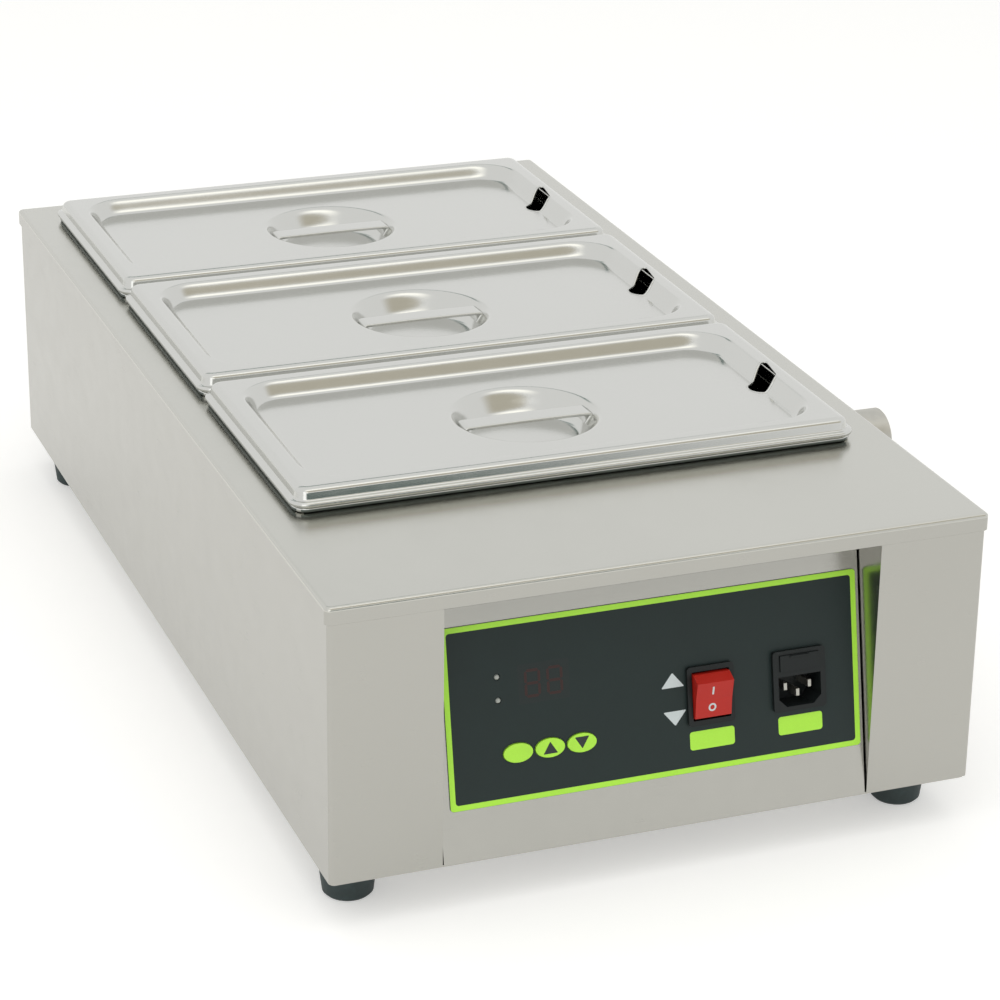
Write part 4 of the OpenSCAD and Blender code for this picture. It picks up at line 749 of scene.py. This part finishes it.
def pan_section():
    """The pan's section as (distance in from the rim's edge, height, corner radius)."""
    low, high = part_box("pan_front")
    top, bottom = high.z, low.z
    corner = LID_CORNER
    section = []
    for s in range(15):
        a = math.radians(-150 + 240 * s / 14)
        inset = PAN_RIM_IN + PAN_RIM_R - PAN_RIM_R * math.cos(a)
        section.append((inset, top - PAN_RIM_R + PAN_RIM_R * math.sin(a), corner - inset))
    shelf = PAN_INSET - TUB_HIGH_R
    section.append((shelf - 1 * MM, top, TUB_R + TUB_HIGH_R + 1 * MM))
    for s in range(7):
        a = math.radians(90 * s / 6)
        section.append((shelf + TUB_HIGH_R * math.sin(a), top - TUB_HIGH_R * (1 - math.cos(a)),
                        TUB_R + TUB_HIGH_R - TUB_HIGH_R * math.sin(a)))
    for s in range(11):
        a = math.radians(90 * s / 10)
        section.append((PAN_INSET + TUB_TAPER + TUB_LOW_R * (1 - math.cos(a)),
                        bottom + TUB_LOW_R * (1 - math.sin(a)),
                        TUB_R - TUB_TAPER - TUB_LOW_R * (1 - math.cos(a))))
    return section


def make_pans(look, painted_shade_look):
    for name in PLACES:
        middle, half_x, half_y = lid_box(name)
        rings = [[(x + middle.x, y + middle.y, z) for x, y in rounded(half_x - inset, half_y - inset, radius)]
                 for inset, z, radius in pan_section()]
        pan = mesh_object("pan_%s_shell" % name, *loft(rings, last_cap=True))
        solid = pan.modifiers.new("sheet", "SOLIDIFY")
        solid.thickness = LID_SHEET
        solid.offset = -1
        bake(pan)
        shade(pan, 40)
        place(pan, "pan_" + name, "drawn_steel", look, "pan_" + name)
        pan.data.materials.append(painted_shade_look)
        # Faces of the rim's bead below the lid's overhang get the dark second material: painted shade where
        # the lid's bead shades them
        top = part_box("pan_" + name)[1].z
        for face in pan.data.polygons:
            c = face.center
            inset = min(half_x - abs(c.x - middle.x), half_y - abs(c.y - middle.y))
            if inset < PAINTED_SHADE_IN and c.z < top - 1.1 * MM:
                face.material_index = 1


# The cover
COVER_FOLD = 2.2 * MM
COVER_SHEET = 1.2 * MM
LIP_H = 9.5 * MM
HOLE_IN = 9.5 * MM
HOLE_R = 32 * MM


def make_cover(look, lip_look):
    half_x, half_y = (cover_high.x - cover_low.x) / 2, (cover_high.y - cover_low.y) / 2
    middle = Vector((MIDDLE_X, (cover_low.y + cover_high.y) / 2))
    inner = COVER_FOLD - COVER_SHEET
    lip_z = TOP_Z - LIP_H
    section = [(COVER_FOLD + 1 * MM, TOP_Z - COVER_SHEET)]
    for s in range(7):
        a = math.radians(90 - 90 * s / 6)
        section.append((COVER_FOLD - inner * math.cos(a), TOP_Z - COVER_FOLD + inner * math.sin(a)))
    section += [(COVER_SHEET, lip_z), (COVER_SHEET * 0.85, lip_z), (0.15 * MM, lip_z), (0, lip_z + 0.15 * MM)]
    for s in range(9):
        a = math.radians(90 * s / 8)
        section.append((COVER_FOLD - COVER_FOLD * math.cos(a), TOP_Z - COVER_FOLD + COVER_FOLD * math.sin(a)))
    section.append((COVER_FOLD + 1 * MM, TOP_Z))
    rings = [
        [(x + middle.x, y + middle.y, z) for x, y in rounded(
            half_x - inset, half_y - inset, COVER_FOLD + 1 * MM - inset, corner=8, long_side=2, short_side=2)]
        for inset, z in section
    ]
    cover = mesh_object("cover_skin", *loft(rings, first_cap=True, last_cap=True))
    for name in PLACES:
        centre, hole_x, hole_y = lid_box(name)
        outline = rounded(hole_x - HOLE_IN, hole_y - HOLE_IN, HOLE_R, corner=12, long_side=1, short_side=1)
        cutter = mesh_object("cutter", *loft(
            [[(x + centre.x, y + centre.y, z) for x, y in outline] for z in (TOP_Z - 4 * MM, TOP_Z + 4 * MM)],
            first_cap=True, last_cap=True))
        subtract(cover, cutter)
    shade(cover, 40)
    place(cover, "chassis", "brushed_steel", look, "top_cover")
    # The top keeps the lighter deck steel and the folded lip gets the darker body steel: one sheet as a lit
    # and a shaded copy, painted light and shade
    cover.data.materials.append(lip_look)
    for face in cover.data.polygons:
        if abs(face.normal.z) < 0.4 and face.center.z < TOP_Z - COVER_FOLD:
            face.material_index = 1


# The panel's print, marks and display
BORDER = 3.0 * MM
PRINT_LIFT = 0.04 * MM


def on_panel(points, w):
    return [panel_point(x, v, w) for x, v in points]


def shifted(points, x, v):
    return [(px + x, pv + v) for px, pv in points]


def panel_prism(name, outline, low, high):
    """A flat piece on the panel, between two heights over its steel face."""
    rings = [on_panel(outline, low), on_panel(outline, high)]
    return mesh_object(name, *loft(rings, first_cap=True, last_cap=True), smooth=False)


def overlay_box():
    low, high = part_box("panel_overlay")
    left, right = low.x - MIDDLE_X, high.x - MIDDLE_X
    bottom = 28.8 * MM
    top = 125.6 * MM
    return left, right, bottom, top


def make_border(look):
    left, right, bottom, top = overlay_box()
    cx, cv = (left + right) / 2, (bottom + top) / 2
    hx, hv = (right - left) / 2, (top - bottom) / 2
    face = OVERLAY_FACE
    few = {"corner": 8, "long_side": 1, "short_side": 1}
    outer = shifted(rounded(hx - 0.1 * MM, hv - 0.1 * MM, 1.9 * MM, **few), cx, cv)
    inner = shifted(rounded(hx - BORDER, hv - BORDER, 1.8 * MM, **few), cx, cv)
    rings = [on_panel(outer, face - PRINT_LIFT), on_panel(outer, face + PRINT_LIFT),
             on_panel(inner, face + PRINT_LIFT), on_panel(inner, face - PRINT_LIFT)]
    border = mesh_object("overlay_border", *loft(rings, closed=True), smooth=False)
    place(border, "chassis", "overlay_film", look)


def make_plates(look):
    few = {"corner": 5, "long_side": 1, "short_side": 1}
    for name, x, v in (("plate_switch", 32.3, 45.7), ("plate_inlet", 83.2, 46.0)):
        outline = shifted(rounded(12.75 * MM, 5 * MM, 1.6 * MM, **few), x * MM, v * MM)
        plate = panel_prism(name, outline, OVERLAY_FACE - PRINT_LIFT, OVERLAY_FACE + PRINT_LIFT)
        place(plate, "chassis", "overlay_film", look)


def triangle(x, v, wide, tall, turn, blunt=0.5):
    """A triangle with slightly blunted corners, pointing up for turn 1 and down for -1."""
    foot = v - turn * tall / 2
    tips = [Vector((x - wide / 2, foot)), Vector((x + wide / 2, foot)), Vector((x, v + turn * tall / 2))]
    out = []
    for i, tip in enumerate(tips):
        for other in (tips[i - 1], tips[(i + 1) % 3]):
            out.append(tuple(tip + (other - tip).normalized() * blunt * MM))
    if turn < 0:
        out.reverse()
    return out


def make_arrows(white, black):
    for name, x, v, turn in (("arrow_up", 11.1, 80.3, 1), ("arrow_down", 11.7, 59.5, -1)):
        outline = triangle(x * MM, v * MM, 13 * MM, 8 * MM, turn)
        arrow = panel_prism(name, outline, OVERLAY_FACE - PRINT_LIFT, OVERLAY_FACE + PRINT_LIFT)
        place(arrow, "chassis", "overlay_film", white)
    face = OVERLAY_FACE + 1 * MM
    for name, x, turn, body in (
        ("key_up_mark", -58.7, 1, "key_up"), ("key_down_mark", -41.1, -1, "key_down"),
    ):
        outline = triangle(x * MM, 55.1 * MM, 8.0 * MM, 6.4 * MM, turn, 0.3)
        mark = panel_prism(name, outline, face - PRINT_LIFT, face + PRINT_LIFT)
        place(mark, body, "dark_key", black)


def pixel_hit(px, py, node_name):
    """Where the camera's line through a pixel of the picture meets a node, with its normal."""
    camera = bpy.context.scene.camera
    focal = FOCAL_SHARE * PICTURE_SIDE
    middle = PICTURE_SIDE / 2
    ahead = Vector(((px - middle) / focal, (middle - py) / focal, -1)).normalized()
    way = camera.matrix_world.to_3x3() @ ahead
    hit, where, normal, _ = NODES[node_name].ray_cast(camera.matrix_world.translation, way)
    assert hit, node_name
    return where, normal


ROCKER_BAR_PIXEL = (713.5, 690.5)
ROCKER_RING_PIXEL = (712.5, 707.0)
BAR_HALF = (0.5 * MM, 2.4 * MM)
BAR_CORNER = 0.3 * MM
RING_OUTER = (2.2 * MM, 2.3 * MM)
RING_INNER = (1.25 * MM, 1.35 * MM)
RING_POINTS = 28


def rocker_place(pixel):
    """The place of a mark on the rocker, with its across, up and outward directions."""
    where, normal = pixel_hit(pixel[0], pixel[1], "rocker")
    across = Vector((1, 0, 0))
    up = normal.cross(across).normalized()
    return where, across, up if up.z > 0 else -up, normal


def make_rocker_bar(look):
    where, across, up, normal = rocker_place(ROCKER_BAR_PIXEL)
    outline = rounded(*BAR_HALF, BAR_CORNER, corner=4, long_side=1, short_side=1)
    loops = [[where + across * x + up * y + normal * lift for x, y in outline]
             for lift in (-PRINT_LIFT, PRINT_LIFT)]
    bar = mesh_object("rocker_bar", *loft(loops, first_cap=True, last_cap=True), smooth=False)
    place(bar, "rocker", "red_plastic", look)


def make_rocker_ring(look):
    where, across, up, normal = rocker_place(ROCKER_RING_PIXEL)
    turns = [2 * math.pi * i / RING_POINTS for i in range(RING_POINTS)]
    loops = [
        [where + across * (size[0] * math.cos(t)) + up * (size[1] * math.sin(t)) + normal * lift
         for t in turns]
        for size, lift in ((RING_OUTER, -PRINT_LIFT), (RING_OUTER, PRINT_LIFT),
                           (RING_INNER, PRINT_LIFT), (RING_INNER, -PRINT_LIFT))
    ]
    ring = mesh_object("rocker_ring", *loft(loops, closed=True), smooth=False)
    place(ring, "rocker", "red_plastic", look)


def segment(x, v, long, wide, upright):
    """A bar of a digit with pointed ends."""
    a, b = long / 2, wide / 2
    points = [(-a, 0), (-a + b, -b), (a - b, -b), (a, 0), (a - b, b), (-a + b, b)]
    if upright:
        points = [(-q, p) for p, q in points]
    return shifted(points, x, v)


def make_digits(look):
    parts = []
    face = OVERLAY_FACE
    for x in (-66.2 * MM, -54.0 * MM):
        wide, tall, bar = 7.4 * MM, 13.6 * MM, 1.5 * MM
        bars = [(0, tall / 2, wide, False), (0, 0, wide, False), (0, -tall / 2, wide, False)]
        bars += [(sx * wide / 2, sv * tall / 4, tall / 2, True) for sx in (-1, 1) for sv in (-1, 1)]
        for dx, dv, long, upright in bars:
            outline = segment(x + dx, 90.5 * MM + dv, long - 0.5 * MM, bar, upright)
            parts.append(loft([on_panel(outline, face - PRINT_LIFT), on_panel(outline, face + PRINT_LIFT)],
                              first_cap=True, last_cap=True))
    digits = mesh_object("display_digits", *join_parts(parts), smooth=False)
    place(digits, "chassis", "window_film", look)


# Looks of the CAD nodes that stay.
# First the moulded pieces whose edges are rounded, and each edge's width in millimetres
SOFT_EDGES = (
    ("key_set", 0.4), ("key_up", 0.4), ("key_down", 0.4),
    ("rocker", 0.6), ("switch_housing", 0.4), ("inlet_body", 0.4),
    ("fuse_drawer", 0.3), ("stub_cap", 0.5), ("inlet_pins", 0.3),
)


def soften(node_name, width, segments=3, angle=32):
    """Rounds a CAD node's edges with modifiers, which leave its mesh alone."""
    obj = NODES[node_name]
    weld = obj.modifiers.new("weld", "WELD")
    weld.merge_threshold = 0.002 * MM
    edge = obj.modifiers.new("edge", "BEVEL")
    edge.width = width
    edge.segments = segments
    edge.limit_method = "ANGLE"
    edge.angle_limit = math.radians(angle)
    edge.use_clamp_overlap = True
    normal = obj.modifiers.new("normals", "WEIGHTED_NORMAL")
    normal.keep_sharp = True


def make_looks():
    looks = {
        "brushed_steel": steel("sheet_steel", (0.432, 0.426, 0.396), 0.24,
                               grain=(24, 24, 1500), lines=0.004, cloud=0.014),
        "drawn_steel": steel("drawn_steel", (0.595, 0.598, 0.572), 0.15,
                             grain=(60, 900, 900), lines=0.002, cloud=0.012, wave=0.05),
        "plated_steel": metal("plated_steel", (0.53, 0.52, 0.475), 0.42),
        "heater_steel": steel("heater_steel", (0.33, 0.31, 0.28), 0.42, cloud=0.2),
        "foot_rubber": rubber("foot_rubber", (0.034, 0.049, 0.049)),
        "seal_rubber": rubber("seal_rubber", (0.03, 0.03, 0.03)),
        "overlay_film": plastic("overlay_film", (0.014, 0.025, 0.0235), 0.42,
                                speck=0.08, grain=1800, depth=0.003, shine=0.3),
        "window_film": plastic("window_film", (0.017, 0.025, 0.024), 0.38,
                               speck=0.05, grain=900, depth=0.001, shine=0.3),
        "black_plastic": plastic("black_plastic", (0.009, 0.012, 0.012), 0.4, speck=0.1, shine=0.3),
        "red_plastic": plastic("red_plastic", (0.52, 0.016, 0.008), 0.36, speck=0.05, coat=0.1, shine=0.35),
        "lime_key": plastic("lime_key", (0.49, 0.94, 0.068), 0.34, speck=0.04, grain=1600),
        "dark_key": plastic("dark_key", (0.49, 0.94, 0.068), 0.34, speck=0.04, grain=1600),
        "lamp_plastic": plastic("lamp_plastic", (0.42, 0.44, 0.40), 0.2, coat=0.4),
        "brass": metal("brass", (0.72, 0.52, 0.22), 0.3),
        "board_green": plastic("board_green", (0.02, 0.13, 0.055), 0.3, speck=0.3, grain=400, coat=0.5),
        "part_blue": plastic("part_blue", (0.03, 0.10, 0.34), 0.35),
        "part_green": plastic("part_green", (0.03, 0.28, 0.09), 0.4),
        "core_steel": steel("core_steel", (0.20, 0.20, 0.20), 0.5, cloud=0.15),
        "fuse_ceramic": plastic("fuse_ceramic", (0.72, 0.71, 0.66), 0.3),
        "wire_brown": plastic("wire_brown", (0.14, 0.05, 0.02), 0.4),
        "wire_white": plastic("wire_white", (0.72, 0.72, 0.68), 0.45),
        "wire_black": plastic("wire_black", (0.02, 0.02, 0.02), 0.4),
        "wire_earth": plastic("wire_earth", (0.22, 0.42, 0.03), 0.4),
    }
    return looks


def dress_nodes(looks):
    record_slots = {part["node"]: part["material_slot"] for part in frame["record"]["subparts"]}
    for name, obj in NODES.items():
        look = looks[record_slots[name]]
        for place_in in obj.material_slots:
            place_in.link = "OBJECT"
            place_in.material = look
    for name, width in SOFT_EDGES:
        soften(name, width * MM)


# Everything
def main():
    bpy.context.scene.view_settings.view_transform = "Standard"
    make_camera()
    make_world()
    make_lights()
    make_floor()
    make_cards()
    looks = make_looks()
    dress_nodes(looks)
    make_lids(looks["drawn_steel"], looks["drawn_steel"])
    # The pans' rims get a dark material under the lids' beads: painted shade
    make_pans(looks["drawn_steel"], metal("rim_painted_shade", (0.15, 0.17, 0.16), 0.35))
    # A lighter copy of the body's steel for the cover's top face: painted light
    painted_lit_deck = steel("cover_steel_painted_lit", (0.545, 0.543, 0.503), 0.22, grain=(24, 1500, 1500), lines=0.004, cloud=0.014)
    make_cover(painted_lit_deck, looks["brushed_steel"])
    lime = plastic("lime_print", (0.49, 0.95, 0.068), 0.4, speck=0.03, grain=1500, depth=0.003)
    white = plastic("white_print", (0.66, 0.72, 0.72), 0.4, speck=0.02, depth=0.003)
    black = plastic("black_print", (0.016, 0.022, 0.022), 0.4, depth=0.003)
    make_border(lime)
    make_plates(lime)
    make_arrows(white, black)
    make_digits(plastic("unlit_red", (0.042, 0.020, 0.018), 0.42, depth=0.001, shine=0.3))
    make_rocker_bar(white)
    make_rocker_ring(white)


main()
